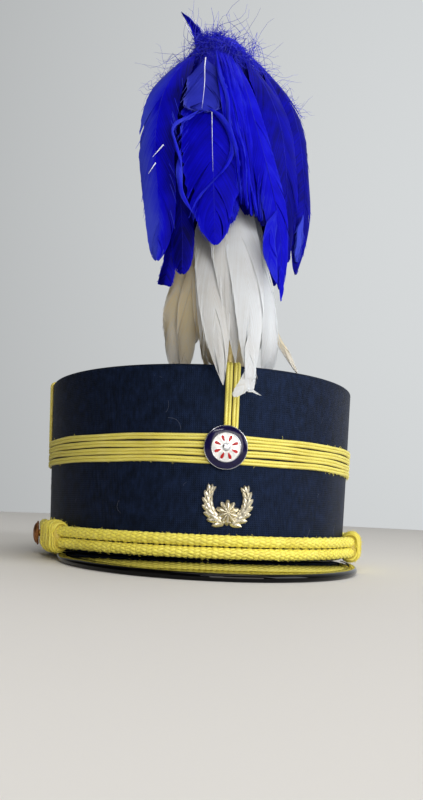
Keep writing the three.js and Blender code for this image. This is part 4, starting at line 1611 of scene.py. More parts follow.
BLUE_FRONT = (
    # Left outer feather, and the dark ones that show below it, whose low tones are painted shade
    # The left outer feather's paler tip and darker right half are painted sheen and shade
    Feather(((-59, 15.5, 171), (-53, 30, 158), (-54, 42, 141), (-54, 48, 122), (-55, 49, 105), (-55, 47.5,
        86), (-57, 45.5, 70), (-61, 45, 51)), 22, faces=-28, blunt=4, neck=0.5, fade=0.3, slope=-0.5,
        cup=0.2, wave=0.8, gape=0.5, ragged=0.05),
    Feather(((-59, 27, 157), (-54, 34, 110), (-55, 36, 81), (-56, 38, 60), (-58, 39, 47)), 8, faces=-20,
        blunt=40, neck=0.6, tone=0.1, shaft=0.0, splits=0),
    Feather(((-56, 38.5, 57), (-58, 39.5, 48), (-60, 41, 39)), 8.5, faces=-20, blunt=60, neck=0.6, tone=0.12,
        sweep=1.2, shaft=0.0, splits=0),
    Feather(((-52, 26, 156), (-47, 34, 112), (-47, 37, 82), (-46, 37, 61), (-49, 35.5, 44)), 12.5, faces=-15,
        blunt=16, neck=0.5, tone=0.06, gape=0.5),
    BLUE_TIER.feather(-74, 29, 26, 74, 24, tone=0.14),
    BLUE_TIER.feather(-98, 33, 31, 62, 19, twist=-70, tone=0.12),
    BLUE_TIER.feather(-50, 33, 30, 88, 20, twist=-20, tone=0.12),
    # Broad front feather and the pale edge along its left side
    Feather(((-26, 29, 150), (-20, 37, 131), (-19, 41, 113), (-18, 42, 92), (-18, 41.5, 75), (-18, 39.5,
        55)), 35, faces=-12, blunt=4, point=0.68, neck=0.3, tone=0.38, sweep=1.1, cup=0.14, wave=0.3,
        splits=8, gape=0.3, lean=0.1, ragged=0.16, fringe=60),
    Feather(((-37, 47.5, 104), (-37, 49.5, 92), (-36, 49.5, 81), (-33, 47.5, 74), (-30, 46, 69)), 5,
        faces=-25, blunt=1.4, point=0.9, neck=0.95, tone=0.66, shaft=0.0, splits=0, fringe=0),
    # Thin edges that curl open below the hood
    Feather(((-25, 44, 123), (-33, 48.5, 118), (-37, 52, 115), (-39, 53, 111), (-38, 52.5, 106), (-35, 50,
        93)), 1.8, blunt=3, neck=0.3, tone=0.7, sweep=3.5, cup=0.6, shaft=0.0, splits=0, fringe=0),
    Feather(((-23, 43.5, 122), (-29, 47, 119), (-34, 50, 114), (-35, 50.5, 108)), 1.3, blunt=3, neck=0.3,
        tone=0.6, sweep=3.5, cup=0.6, shaft=0.0, splits=0, fringe=0),
    Feather(((-22, 43, 125), (-13, 43, 119), (-7, 43.5, 111), (-5, 43, 102), (-10, 43.5, 93), (-18, 45, 85),
        (-27, 47, 76), (-32, 48, 67)), 4.8, twist=25, roll=-30, blunt=1.0, point=1.1, neck=0.4, tone=0.54,
        sweep=3.5, cup=0.6, shaft=0.0, splits=0, fringe=4),
    # Streaked locks to the right of the hood
    Feather(((-18, 23, 165), (-12, 38, 145), (-9, 41.5, 129), (-6, 42, 114), (-2, 42, 100), (1, 40, 75)), 6,
        blunt=3, tone=0.46, rim=0.1, sweep=4.0, cup=0.4, wave=0.9, shaft=0.0, splits=5, fringe=20),
    Feather(((-11, 22.5, 165), (-5, 37, 143), (-1, 41, 127), (2, 41.5, 111), (4, 41, 96), (9, 39, 70)), 9,
        blunt=3, tone=0.42, rim=0.1, sweep=4.0, cup=0.4, wave=0.9, shaft=0.0, splits=6, ragged=0.1,
        fringe=30),
    Feather(((0, 22, 163), (3, 34, 142), (7, 38, 124), (10, 38.5, 108), (13, 38.5, 93), (16, 38.5, 68)), 11,
        blunt=3, tone=0.34, rim=0.1, sweep=4.0, cup=0.4, wave=0.9, shaft=0.0, splits=6, ragged=0.12,
        fringe=30),
    BLUE_TIER.feather(9, 34, 32, 73, 20, tone=0.16, blunt=4, ragged=0.1, splits=6),
    BLUE_TIER.feather(24, 34, 33, 68, 17, tone=0.1, blunt=3, ragged=0.12, splits=6),
    # Long pointed feather that sweeps to the right, with its lobe and its narrow tail
    Feather(((6, 22, 162), (7, 35.5, 140), (11, 40, 122), (16, 41.5, 106), (20, 43, 91), (25, 44, 71), (28,
        43.5, 51), (28, 42, 34)), 16, faces=12, blunt=3, tone=0.46, rim=0.1, wave=0.4),
    Feather(((24, 45, 74), (19, 44.5, 63), (18, 44, 54), (20, 44, 45), (23, 44, 36)), 8.5, faces=12, blunt=3,
        point=0.7, neck=0.8, tone=0.52, shaft=0.0, splits=1, gape=0.5, fringe=8),
    Feather(((27, 43.5, 46), (28, 43, 36), (28, 42, 28)), 2.8, faces=12, blunt=4, neck=0.1, tone=0.46,
        shaft=0.0, splits=0, fringe=4),
    # Right outer feathers, whose low tones are painted shade, and a pale patch over one tip
    Feather(((27, 16, 168), (33, 31, 145), (37, 38.5, 123), (38, 41, 103), (40, 40.5, 85), (43, 38, 65), (46,
        37, 51)), 22, faces=30, blunt=4, neck=0.5, tone=0.18, rim=0.1, cup=0.2),
    Feather(((63, 22, 162), (58, 30.5, 145), (57, 36.5, 124), (59, 38.5, 103), (62, 38.5, 79)), 15, faces=40,
        neck=0.4, tone=0.22, rim=0.1),
    Feather(((70, 5, 167), (82, 18, 165), (76, 27, 152), (73, 33.5, 136), (71, 36.5, 117), (72, 38, 95), (73,
        37.5, 76)), 18, faces=35, neck=0.0, tone=0.15, rim=0.1, sweep=1.0, gape=0.5),
    BLUE_TIER.feather(52, 34, 31, 56, 18, twist=22, tone=0.12),
    Feather(((83, 16, 174), (73, 33.5, 149), (71, 40, 128), (71, 42, 108), (71, 42.5, 89), (68, 40.5, 69),
        (66, 37, 48)), 19, faces=35, blunt=3, neck=0.1, tone=0.19, rim=0.15, sweep=0.9, wave=0.8, gape=0.8),
    Feather(((65, 42, 80), (63, 41, 71), (63, 40, 63), (63, 38, 54)), 8, faces=40, blunt=4, neck=0.6,
        tone=0.95, shaft=0.0, ragged=0.12),
    BLUE_TIER.feather(92, 32, 28, 62, 26, tone=0.14),
)
# First and last of the streaked locks
LOCK_ROWS = (12, 14)
HOOD = Feather(((-28, 28, 159), (-26, 33.5, 150), (-24, 39, 138), (-25, 42.5, 123)), 23, faces=-20, blunt=14,
    neck=0.6, tone=0.4, rim=0.3, sweep=1.3, cup=0.14, wave=1.2, shaft=0.42, splits=6, gape=2.6, ragged=0.1)
# Thin pale lines painted as glints: light through slits, and highlights along shafts and edges
PAINTED_GLINTS = (
    Feather(((-50, 47, 108), (-54, 51.5, 101)), 1.0, shaft=0.42),
    Feather(((-53, 50, 98.5), (-55.5, 53, 92.5)), 1.0, shaft=0.36),
    Feather(((-18, 43, 122), (-18, 43.4, 106), (-18, 43, 90)), 1.0, shaft=0.19),
    Feather(((-62, 19, 178), (-68, 21.5, 184), (-73, 23.5, 191), (-78, 24, 197)), 1.0, shaft=0.4),
    Feather(((-51, 14.5, 182), (-61, 16.5, 187), (-69, 19, 192), (-77, 22, 196)), 1.0, shaft=0.34),
)
BLUE_BACK = (
    BLUE_TIER.feather(116, 38, 34, 50, 22, twist=20),
    BLUE_TIER.feather(132, 36, 33, 72, 22, twist=-10, tone=0.25),
    BLUE_TIER.feather(148, 39, 35, 60, 24, tone=0.45, blunt=4),
    BLUE_TIER.feather(165, 37, 34, 84, 22, twist=8, tone=0.2),
    BLUE_TIER.feather(180, 40, 36, 50, 26, tone=0.52, blunt=4, splits=4),
    BLUE_TIER.feather(-165, 37, 34, 80, 22, twist=-8, tone=0.22),
    BLUE_TIER.feather(-150, 39, 35, 62, 24, tone=0.42),
    BLUE_TIER.feather(-136, 37, 34, 78, 22, twist=10, tone=0.25),
    BLUE_TIER.feather(-122, 38, 34, 50, 22, twist=-15, blunt=4),
    BLUE_TIER.feather(-104, 37, 34, 66, 22, twist=-20, tone=0.35),
    BLUE_TIER.feather(104, 37, 34, 70, 22, twist=20, tone=0.35),
)
# Torn ends that show past the right edge of the broad front feather
TORN_ENDS = (
    Feather(((-12, 36, 112), (-9, 37.2, 96), (-8, 37, 83), (-6, 36.7, 75), (-7, 36.4, 67)), 10, faces=-5,
        blunt=9, neck=0.3, tone=0.36, rim=0.1, sweep=1.1, cup=0.1, shaft=0.0, gape=0.9, ragged=0.14),
    Feather(((-15, 37, 98), (-13, 37.6, 83), (-12, 37.4, 70), (-13, 37.1, 60)), 8, faces=-8, blunt=9,
        neck=0.3, tone=0.38, rim=0.1, sweep=1.1, cup=0.1, shaft=0.0, splits=2, gape=0.9, ragged=0.12),
)
# Upright feather at the top; its high rim paints light along its edges.
UPRIGHT = Feather(((-65, 14, 171), (-70, 14, 180), (-76, 17, 188), (-85, 22.5, 197)), 10, faces=-20,
    blunt=1.2, point=0.9, neck=0.0, rim=0.8, sweep=1.4, wave=0.2, shaft=0.0, splits=1, ragged=0.22)
WHITE_FRONT = (
    # Smooth mass over the front, its tones raised as painted light where it lies in shade
    # The second one fades to beige at its tip, painted warm shade
    Feather(((-27, 8, 116), (-30, 19, 72), (-24, 27.5, 47), (-22, 30, 28), (-20, 30.5, 13), (-18, 29.5, 0),
        (-16, 28, -12)), 20, faces=-12, blunt=4.5, point=1.0, neck=0.2, tone=0.6, cup=0.15, wave=0.2,
        splits=4, gape=0.7),
    Feather(((-34, 8, 112), (-40, 18.5, 66), (-34, 24, 45), (-37, 20, 27), (-49, 12, 13), (-110, 6, 2)), 13,
        faces=-12, blunt=25, neck=0.3, tone=0.72, fade=-0.62, cup=0.15, wave=0.2, gape=0.7),
    Feather(((-12, 8, 118), (-14, 22.5, 81), (-11, 29.5, 63), (-8, 30.5, 45), (-6, 29.5, 29), (-4, 27, 13),
        (-1, 21.5, 0)), 20, faces=-5, blunt=2.6, point=1.0, neck=0.1, tone=0.64, cup=0.15, wave=0.2,
        gape=0.8),
    Feather(((3, 8, 116), (3, 24, 79), (5, 31, 58), (8, 33, 39), (9, 33, 22), (9, 32.5, 7), (9, 31.5, -14)),
        19, faces=0, blunt=4.5, point=1.0, neck=0.1, tone=0.88, cup=0.15, wave=0.2, splits=2, gape=1.0),
    Feather(((43, 8, 116), (43, 16.5, 86), (35, 23, 62), (43, 24.5, 42), (56, 24, 27), (74, 22.5, 13), (100,
        23, 0)), 11.5, faces=32, blunt=60, neck=0.15, tone=1.0, cup=0.15, wave=0.2, gape=0.7),
    WHITE_TIER.feather(-22, 23, 22, 22, 20, blunt=3, neck=0.2, tone=0.55),
    WHITE_TIER.feather(12, 23, 22, 20, 20, blunt=3, neck=0.2, tone=0.65),
    WHITE_TIER.feather(38, 23, 22, 22, 18, blunt=3, neck=0.2, tone=0.65),
    # Beige one that shows between the two longest
    Feather(((13, 12.5, 40), (30, 9.5, 22), (90, 6.5, 12), (132, 10.5, 2)), 10, faces=0, blunt=20, tone=0.2),
    # Torn end of the longest feather
    Feather(((8, 32.5, 14), (8, 33, -1), (8, 32.8, -9), (8, 32.3, -16)), 5.6, faces=0, blunt=14, neck=0.3,
        tone=0.82, sweep=1.2, cup=0.1, wave=0.1, splits=1, gape=0.4, ragged=0.06),
    Feather(((12, 29.5, 2), (9, 32, -6), (2, 33, -13), (-7, 32.5, -18)), 7.0, faces=0, blunt=5, neck=0.5,
        tone=0.82, sweep=0.5, cup=0.1, wave=0.1, splits=0, ragged=0.05),
    Feather(((8, 32, -12), (10, 32, -15), (19, 32.5, -17.5)), 1.6, faces=0, blunt=2, point=1.0, neck=0.1,
        tone=0.88, splits=0, fringe=0),
    # Beige group at the back left, its beige partly the feathers' own tint and partly painted warm shade
    Feather(((-72, 25.5, 71), (-72, 26.5, 57), (-81, 26.5, 44), (-94, 28, 31), (-106, 29, 20), (-119, 28.5,
        2)), 13, faces=-25, blunt=8, tone=0.16, fade=0.25, sweep=0.9, wave=1.6, gape=0.6),
    Feather(((-70, 18, 68), (-58, 23, 50), (-69, 22, 37), (-85, 21, 25), (-101, 22, 14), (-113, 23, 2)), 14,
        faces=-20, blunt=4, tone=0.08, fade=0.2, wave=1.0),
    Feather(((-59, 19.5, 61), (-53, 23, 41), (-64, 18, 27), (-90, 13, 15), (-121, 12, 2)), 6, faces=-20,
        tone=0.1),
    # Thin feather at the right
    Feather(((101, 20.5, 39), (90, 25, 22), (84, 30.5, 10), (80, 36, -2)), 4.6, faces=0, blunt=3, neck=0.4,
        tone=0.3),
)
WHITE_BACK = (
    WHITE_TIER.feather(-92, 21, 19, 44, 15, twist=-40, blunt=4, tone=0.25),
    WHITE_TIER.feather(-114, 27, 30, 20, 20, twist=-45, blunt=4, tone=0.2),
    WHITE_TIER.feather(-146, 27, 28, 18, 20, blunt=4, tone=0.4),
    WHITE_TIER.feather(-163, 26, 26, 18, 20, twist=10, blunt=3, tone=0.55),
    WHITE_TIER.feather(180, 28, 29, 10, 20, blunt=4),
    WHITE_TIER.feather(163, 26, 26, 16, 20, twist=-10, blunt=3, tone=0.6),
    WHITE_TIER.feather(146, 27, 28, 10, 20, blunt=4, tone=0.45),
    WHITE_TIER.feather(128, 26, 26, 14, 20, twist=10, blunt=3, tone=0.55),
    WHITE_TIER.feather(112, 25, 25, 18, 18, twist=20, blunt=4),
    WHITE_TIER.feather(90, 24, 24, 22, 18, twist=30, blunt=4, tone=0.55),
    WHITE_TIER.feather(72, 24, 24, 22, 18, twist=25, blunt=4, tone=0.65),
    WHITE_TIER.feather(-130, 26, 26, 18, 20, twist=-10, blunt=3, tone=0.4),
)


@dataclass
class Vane:
    """The curved surface of one feather, measured along its shaft."""

    row: Feather
    spacing: float = 2.0
    thickness: float = 0.2

    def __post_init__(self) -> None:
        """Measures the shaft."""
        self.fine = np.linspace(0.0, 1.0, 240)
        travel = travelled(self.shaft_line(self.fine)[0])
        self.length = float(travel[-1])
        self.travel = travel / travel[-1]

    def shaft_line(self, share: Array) -> tuple[Array, Array, Array]:
        """Runs a smooth line through the stops.

        Args:
            share: share of the way through the stops.

        Returns:
            Points, unit directions along the shaft and unit directions out of the vane.
        """
        azimuth, radius, height = np.array(self.row.stops, float).T
        azimuth = np.radians(azimuth)
        stops = np.stack([radius * np.sin(azimuth), -radius * np.cos(azimuth), height], axis=-1)
        last = len(stops) - 1
        padded = np.concatenate([[2.0 * stops[0] - stops[1]], stops, [2.0 * stops[-1] - stops[-2]]])
        x = np.clip(share, 0.0, 1.0) * last
        i = np.minimum(x.astype(int), last - 1)
        t = (x - i)[..., None]
        p0, p1, p2, p3 = (padded[i + k] for k in range(4))
        a, b, c = p2 - p0, 2.0 * p0 - 5.0 * p1 + 4.0 * p2 - p3, 3.0 * p1 - p0 - 3.0 * p2 + p3
        points = 0.5 * (2.0 * p1 + a * t + b * t ** 2 + c * t ** 3)
        ahead = unit(0.5 * (a + 2.0 * b * t + 3.0 * c * t ** 2))
        if self.row.faces is None:
            look = np.arctan2(points[..., 0], -points[..., 1])
        else:
            look = np.full(points.shape[:-1], math.radians(self.row.faces))
        around = np.stack([np.cos(look), np.sin(look), np.zeros_like(look)], axis=-1)
        return points, ahead, unit(np.cross(ahead, around))

    def at(self, along: Array, across: Array, lift: Array) -> tuple[Array, Array]:
        """Gives points on the vane.

        Args:
            along: share of the shaft's length from root to tip.
            across: place across the vane, from -1 to 1.
            lift: height over the vane.

        Returns:
            Points and directions out of the vane.
        """
        row = self.row
        along, across, lift = np.broadcast_arrays(along, across, lift)
        points, ahead, plain = self.shaft_line(np.interp(along, self.travel, self.fine))
        turn = np.radians(row.twist + row.roll * along)[..., None]
        beside = np.cross(plain, ahead)
        lateral = beside * np.cos(turn) + plain * np.sin(turn)
        face = plain * np.cos(turn) - beside * np.sin(turn)
        tip = np.maximum(1.0 - along ** row.blunt, 0.004) ** row.point
        half = row.width / 2.0 * ((1.0 - row.neck * (1.0 - along) ** 3) * tip)
        ripple = row.wave * across ** 2 * np.sin(FULL_TURN * (2.3 * along + 0.2 * across + row.tone))
        height = lift + ripple - row.cup * half * across ** 2
        return points + lateral * (across * half)[..., None] + face * height[..., None], face

    def barb_place(self, base: Array, q: Array) -> Array:
        """Share of the shaft at a share q of the length of a barb that starts at base."""
        reach = np.minimum(self.row.sweep * self.row.width / 2.0 / self.length, 0.97 * (1.0 - base))
        return base + reach * q ** 1.15

    def sheets(self, rng: Random) -> Form:
        """Spreads the hooked barbs as thin sheets that part at the splits, with barbs that lie under them.

        Args:
            rng: seeded random numbers.

        Returns:
            The sheets as closed bodies.
        """
        row = self.row
        forms = []
        for side in (-1.0, 1.0):
            cuts = np.concatenate([[0.02], np.sort(rng.uniform(0.25, 0.93, row.splits)), [0.996]])
            gapes = row.gape * rng.random(len(cuts)) ** 2
            gapes[[0, -1]] = 0.0
            spans = list(zip(cuts[:-1], cuts[1:], gapes[:-1], gapes[1:]))
            if row.splits:
                spans.append((cuts[0], cuts[-1], 0.0, 0.0))
            for k, (start, end, gape, next_gape) in enumerate(spans):
                lining = k > row.splits
                q = BARB_STEPS[::2] if lining or row.width < NARROW_VANE else BARB_STEPS
                count = max(4, round((end - start) * self.length / self.spacing))
                t = np.linspace(0.0, 1.0, count)[:, None]
                base = start + (end - start) * t
                pull = (gape * (1.0 - t) ** 3 - next_gape * t ** 3) / self.length
                along = np.clip(self.barb_place(base, q) + pull * q ** 2, 0.0, 0.999)
                edge = (0.86 if lining else 1.0) - row.ragged * (rng.random() + rng.random((count, 1)))
                lean = rng.normal(0.0, row.lean)
                lift = -0.45 - 0.5 * q ** 2 if lining else lean * q ** 2 + 0.12 * math.cos(3.0 * k)
                points, face = self.at(along, side * q * edge, lift)
                half = self.thickness / 2.0 * (1.0 - 0.6 * q)[:, None]
                rings = np.concatenate([points + face * half, (points - face * half)[:, ::-1]], axis=1)
                # Fade, slope and rim paint light and shade; the lining is darkened as painted shade under the
                # sheets.
                tone = (row.tone + row.fade * along ** 3 + row.slope * side * q + row.rim * q ** 10
                        + 0.1 * lean + rng.normal(0.0, 0.02, (count, 1)) - (0.25 if lining else 0.0))
                tones = np.concatenate([tone, tone[:, ::-1]], axis=1)
                kept = np.append(np.arange(0, count - 1, 3 if lining else 1), count - 1)
                forms.append(skin(rings[None, kept], base.T[:, kept] * self.length, row.width,
                                  tones=tones[None, kept]))
        return Form.join(forms)

    def fringe(self, rng: Random) -> Form:
        """Lets single barbs stand a little past the vane's edge.

        Args:
            rng: seeded random numbers.

        Returns:
            The barbs.
        """
        row = self.row
        count = row.fringe
        share = np.linspace(0.0, 1.0, 5)
        base = rng.uniform(0.1, 0.985, (count, 1))
        q = 0.7 + (0.3 + rng.exponential(0.05, (count, 1))) * share
        side = rng.choice([-1.0, 1.0], (count, 1))
        along = self.barb_place(base, q) + rng.normal(0.0, 0.01, (count, 1)) * share ** 2
        lift = 0.15 + rng.normal(0.15, 0.5, (count, 1)) * share ** 2
        points, face = self.at(np.clip(along, 0.0, 0.997), side * q, lift)
        # Loose barbs are raised in tone, more so outwards by rim: painted light on thin barbs.
        tone = row.tone + row.fade * base ** 3 + 0.1 + row.rim * share
        return rods(points, face, 0.26 * (1.0 - 0.8 * share), 0.1 * (1.0 - 0.5 * share), 3, tones=tone)

    def shaft(self) -> Form:
        """Makes the tapered shaft.

        Returns:
            The shaft.
        """
        along = np.linspace(0.02, 0.97, 28)
        points, face = self.at(along, 0.0, 0.12)
        size = self.row.shaft * (1.0 - 0.85 * along[None])
        return rods(points[None], face[None], size, size, 6)


def hang(rng: Random, vanes: list[Vane]) -> list[Form]:
    """Sheets and fringe of each vane in turn."""
    return [form for vane in vanes for form in (vane.sheets(rng), vane.fringe(rng))]


@dataclass
class Plume:
    """The brass stem, the white tier below and the blue tier above with its downy head."""

    set_back: float = 94.0
    lean: float = 3.3
    crest_count: int = 9
    lock_count: int = 14
    fur_count: int = 2500
    mane_count: int = 900
    tuft_count: int = 110
    wisp_count: int = 150
    edge_wisp_count: int = 260
    seed: int = 53
    # Radius and height of each ring of the stem, the white tier's sleeve and the downy head
    stem: tuple[Point, ...] = (
        (0.05, 0.0), (4.9, 0.0), (5.0, 0.2), (5.0, 1.0), (4.8, 1.2), (2.8, 2.3), (2.6, 2.8), (2.65, 4.0),
        (3.2, 7.0), (4.1, 11.0), (4.9, 13.8), (5.1, 14.2), (5.1, 14.9), (4.9, 15.0), (1.6, 15.0),
        (1.6, 168.0), (0.05, 168.0))
    sleeve: tuple[Point, ...] = (
        (1.9, 15.3), (5.0, 15.3), (7.0, 40.0), (7.5, 82.0), (4.5, 128.7), (1.9, 128.7))
    head: tuple[Point, ...] = (
        (1.9, 129.0), (6.0, 129.0), (11.0, 147.0), (15.0, 160.0), (15.5, 168.0), (13.5, 175.0), (9.5, 180.0),
        (4.0, 183.0), (0.1, 183.5))

    def __post_init__(self) -> None:
        """Seeds the random numbers of the blue tier."""
        self.rng = np.random.default_rng(self.seed + 1)

    def on_hat(self, forms: list[Form]) -> Form:
        """Joins forms, made with the stem along +Z from its foot, and carries them to the hat's frame.

        Args:
            forms: forms of one piece.

        Returns:
            One form in the hat's frame.
        """
        form = Form.join(forms)
        c, s = math.cos(math.radians(self.lean)), math.sin(math.radians(self.lean))
        foot = np.array([0.0, -self.set_back, HAT.height - HAT.top_drop + HAT.gap])
        form.points = form.points @ np.array([[c, 0.0, s], [0.0, 1.0, 0.0], [-s, 0.0, c]]) + foot
        return form

    def dress(self, name: str, forms: list[Form], finish: Finish, slot: Slot, *replaced: str) -> None:
        """Makes one piece of the plume."""
        make_piece(name, self.on_hat(forms), finish, slot, *replaced, crease=60.0)

    def build_stem(self) -> None:
        """Turns the brass foot, socket and rod."""
        self.dress("plume_socket", [turned(self.stem, 40)], SOCKET_BRASS, Slot.GILT, "plume_stem")

    def build_white(self) -> None:
        """Builds the white tier on its sleeve."""
        rng = np.random.default_rng(self.seed)
        vanes = [Vane(replace(row, sweep=2.25 * row.sweep)) for row in (*WHITE_FRONT, *WHITE_BACK)]
        forms = [turned(self.sleeve, 32), *[v.sheets(rng) for v in vanes], *[v.fringe(rng) for v in vanes]]
        shafts = [v.shaft() for v in vanes[-len(WHITE_BACK) - 1:]]
        self.dress("plume_white_vanes", forms, WHITE_VANE, Slot.WHITE_FEATHER, "plume_white")
        self.dress("plume_white_shafts", shafts, WHITE_SHAFT, Slot.WHITE_FEATHER)

    def crest(self) -> list[Vane]:
        """Adds short feathers that cover the roots of the long ones at the back.

        Returns:
            Their vanes.
        """
        rng = self.rng
        rows = []
        for i in range(self.crest_count):
            azimuth = 105.0 + 160.0 * i / (self.crest_count - 1) + rng.uniform(-8.0, 8.0)
            reach = rng.uniform(22.0, 31.0)
            rows.append(CREST_TIER.feather(
                azimuth, reach, reach + 2.0, rng.uniform(140.0, 156.0), rng.uniform(11.0, 16.0),
                twist=rng.uniform(-20.0, 20.0), blunt=rng.uniform(2.0, 4.0), tone=rng.uniform(0.15, 0.45),
                sweep=3.0, wave=0.8, shaft=0.0, splits=6, ragged=0.12, fringe=50))
        return [Vane(row) for row in rows]

    def locks(self) -> list[Vane]:
        """Adds thin streaks over the locks to the right of the hood.

        Returns:
            Their vanes.
        """
        rng = self.rng
        first, last = (np.array(BLUE_FRONT[i].stops, float) for i in LOCK_ROWS)
        rows = []
        for share in np.linspace(0.0, 1.0, self.lock_count):
            stops = first + (last - first) * share + np.array([0.0, 1.2, 0.0])
            stops[1:] += rng.normal(0.0, 1.0, (len(stops) - 1, 3)) * np.array([1.0, 0.3, 0.0])
            rows.append(Feather(tuple(map(tuple, stops)), rng.uniform(2.2, 4.2), blunt=2.0, neck=0.5,
                                tone=rng.uniform(0.2, 0.7), rim=0.1, sweep=4.0, cup=0.5, shaft=0.0, splits=2,
                                fringe=12))
        return [Vane(row) for row in rows]

    def build_blue(self) -> None:
        """Builds the blue tier and its downy head."""
        slot = Slot.BLUE_FEATHER
        front = [Vane(row) for row in (*BLUE_FRONT, UPRIGHT)]
        locks = self.locks()
        back = [*[Vane(row) for row in BLUE_BACK], *self.crest()]
        hood = Vane(HOOD)
        forms = hang(self.rng, [*front, *locks])
        forms += hang(np.random.default_rng(self.seed + 2), [Vane(row) for row in TORN_ENDS])
        self.dress("plume_blue_front_vanes", forms, BLUE_VANE, slot, "plume_blue")
        self.dress("plume_blue_back_vanes", hang(self.rng, back), BLUE_VANE, slot)
        self.dress("plume_blue_hood", hang(self.rng, [hood]), BLUE_UNDERSIDE, slot)
        # The hood's pale shaft and the lines beside it are painted glints.
        glints = [hood.shaft(), *[Vane(row).shaft() for row in PAINTED_GLINTS]]
        self.dress("plume_blue_painted_glints", glints, GLINT_SHAFT, slot)
        shafts = [v.shaft() for v in (*front, *back) if v.row.shaft > 0.0]
        self.dress("plume_blue_shafts", shafts, BLUE_SHAFT, slot)
        outer = [v for v in front[:-1] if v.row.width > 15.0 and abs(v.row.stops[2][0]) > 50.0]
        self.dress("plume_blue_down", [turned(self.head, 24), self.fur(), self.mane()], BLUE_DOWN, slot)
        self.dress("plume_blue_wisps", [self.wisps(), self.edge_wisps(outer)], DOWN_FIBRE, slot)

    def fur(self) -> Form:
        """Grows soft down over the head, lying outwards and down in tufts.

        Returns:
            The filaments.
        """
        rng = self.rng
        count, tufts = self.fur_count, self.tuft_count
        tuft = rng.integers(0, tufts, count)
        az = rng.uniform(0.0, FULL_TURN, tufts)[tuft] + rng.normal(0.0, 0.16, count)
        po = np.arccos(rng.uniform(-0.2, 1.0, tufts))[tuft] + rng.normal(0.0, 0.12, count)
        radial = np.stack([np.sin(po) * np.sin(az), -np.sin(po) * np.cos(az), np.cos(po)], axis=-1)
        down = np.stack([np.cos(po) * np.sin(az), -np.cos(po) * np.cos(az), -np.sin(po)], axis=-1)
        root = np.array([-4.5, -4.5, 166.5]) + radial * np.array([13.0, 13.0, 15.0])
        swirl = rng.normal(0.0, 0.4, (tufts, 3))[tuft]
        lift = radial * rng.uniform(0.0, 0.25, (count, 1))
        way = unit(lift + down * rng.uniform(0.3, 0.9, (count, 1)) + swirl)
        return self.filaments(root, way, rng.uniform(3.0, 6.5, count), 0.17, 0.8)

    def wisps(self) -> Form:
        """Lets thin curled filaments, and one long straight one, stand out of the head.

        Returns:
            The filaments.
        """
        rng = self.rng
        count = self.wisp_count
        az = rng.uniform(0.0, FULL_TURN, count)
        po = np.arccos(rng.uniform(-0.2, 0.95, count))
        radial = np.stack([np.sin(po) * np.sin(az), -np.sin(po) * np.cos(az), np.cos(po)], axis=-1)
        root = np.array([-2.0, -2.0, 166.0]) + radial * np.array([15.0, 15.0, 14.0])
        length = rng.uniform(6.0, 19.0, count) * (0.3 + 0.7 * np.sin(po))
        root = np.concatenate([root, [[-6.0, -8.0, 178.0]]])
        way = np.concatenate([unit(radial + rng.normal(0.0, 0.4, (count, 3))), [[0.02, 0.0, 1.0]]])
        curl = np.append(np.full(count, 1.15), 0.12)
        size = np.append(np.full(count, 0.19), 0.26)
        return self.filaments(root, way, np.append(length, 20.0), size[:, None], curl[:, None], 0.5)

    def mane(self) -> Form:
        """Lays longer soft barbs from the head over the roots of the hanging feathers.

        Returns:
            The filaments.
        """
        rng = self.rng
        count = self.mane_count
        az = np.radians(rng.uniform(0.0, 290.0, count))
        out = np.stack([np.sin(az), -np.cos(az), np.zeros(count)], axis=-1)
        root = out * rng.uniform(12.0, 16.5, (count, 1)) + np.array([-2.0, -2.0, 167.0])
        root[:, 2] += rng.uniform(-2.0, 6.0, count)
        fall = np.array([0.0, 0.0, -1.0]) * rng.uniform(0.6, 0.9, (count, 1))
        way = unit(out * rng.uniform(0.55, 0.85, (count, 1)) + fall + rng.normal(0.0, 0.12, (count, 3)))
        return self.filaments(root, way, rng.uniform(7.0, 15.0, count), 0.2, 0.35)

    def edge_wisps(self, vanes: list[Vane]) -> Form:
        """Lets thin filaments stand off the shoulders of the long feathers.

        Args:
            vanes: feathers that carry them.

        Returns:
            The filaments.
        """
        rng = self.rng
        roots, ways = [], []
        for _ in range(self.edge_wisp_count):
            vane = vanes[rng.integers(0, len(vanes))]
            side = math.copysign(1.0, vane.row.stops[2][0])
            point, face = vane.at(rng.uniform(0.05, 0.34), side * rng.uniform(0.8, 1.0), 0.0)
            roots.append(point)
            ways.append(unit(np.array([side, 0.3, 0.5]) + 0.2 * face + rng.normal(0.0, 0.35, 3)))
        length = rng.uniform(2.5, 8.0, self.edge_wisp_count)
        return self.filaments(np.array(roots), np.array(ways), length, 0.13, 0.9, 0.3)

    def filaments(self, root: Array, direction: Array, length: Array, size: Array | float,
                  curl: Array | float, sway: float = 0.16) -> Form:
        """Makes thin curved filaments.

        Args:
            root: root of each one.
            direction: its first direction.
            length: its length.
            size: radius at its root.
            curl: how far it bends aside, as a share of its length.
            sway: how far it swings to and fro, as a share of its curl.

        Returns:
            The filaments.
        """
        rng = self.rng
        count = len(root)
        share = np.linspace(0.0, 1.0, 9)
        bend = rng.normal(0.0, 0.6, (count, 3)) * curl + np.array([0.0, 0.0, -0.25]) * curl
        swing = unit(np.cross(direction, rng.normal(0.0, 1.0, (count, 3)))) * sway * curl
        waves = np.sin(FULL_TURN * (rng.uniform(0.6, 1.5, (count, 1)) * share))[..., None]
        s = share[None, :, None]
        shape = direction[:, None] * s + bend[:, None] * s ** 2 + swing[:, None] * waves
        paths = root[:, None] + shape * length[:, None, None]
        thick = size * (1.0 - 0.75 * share)[None]
        tones = np.clip(0.3 + 0.35 * share[None] + rng.normal(0.0, 0.15, (count, 1)), 0.0, 1.0)
        return rods(paths, np.array([0.3, 0.2, 1.0]), thick, thick, 3, tones=tones)

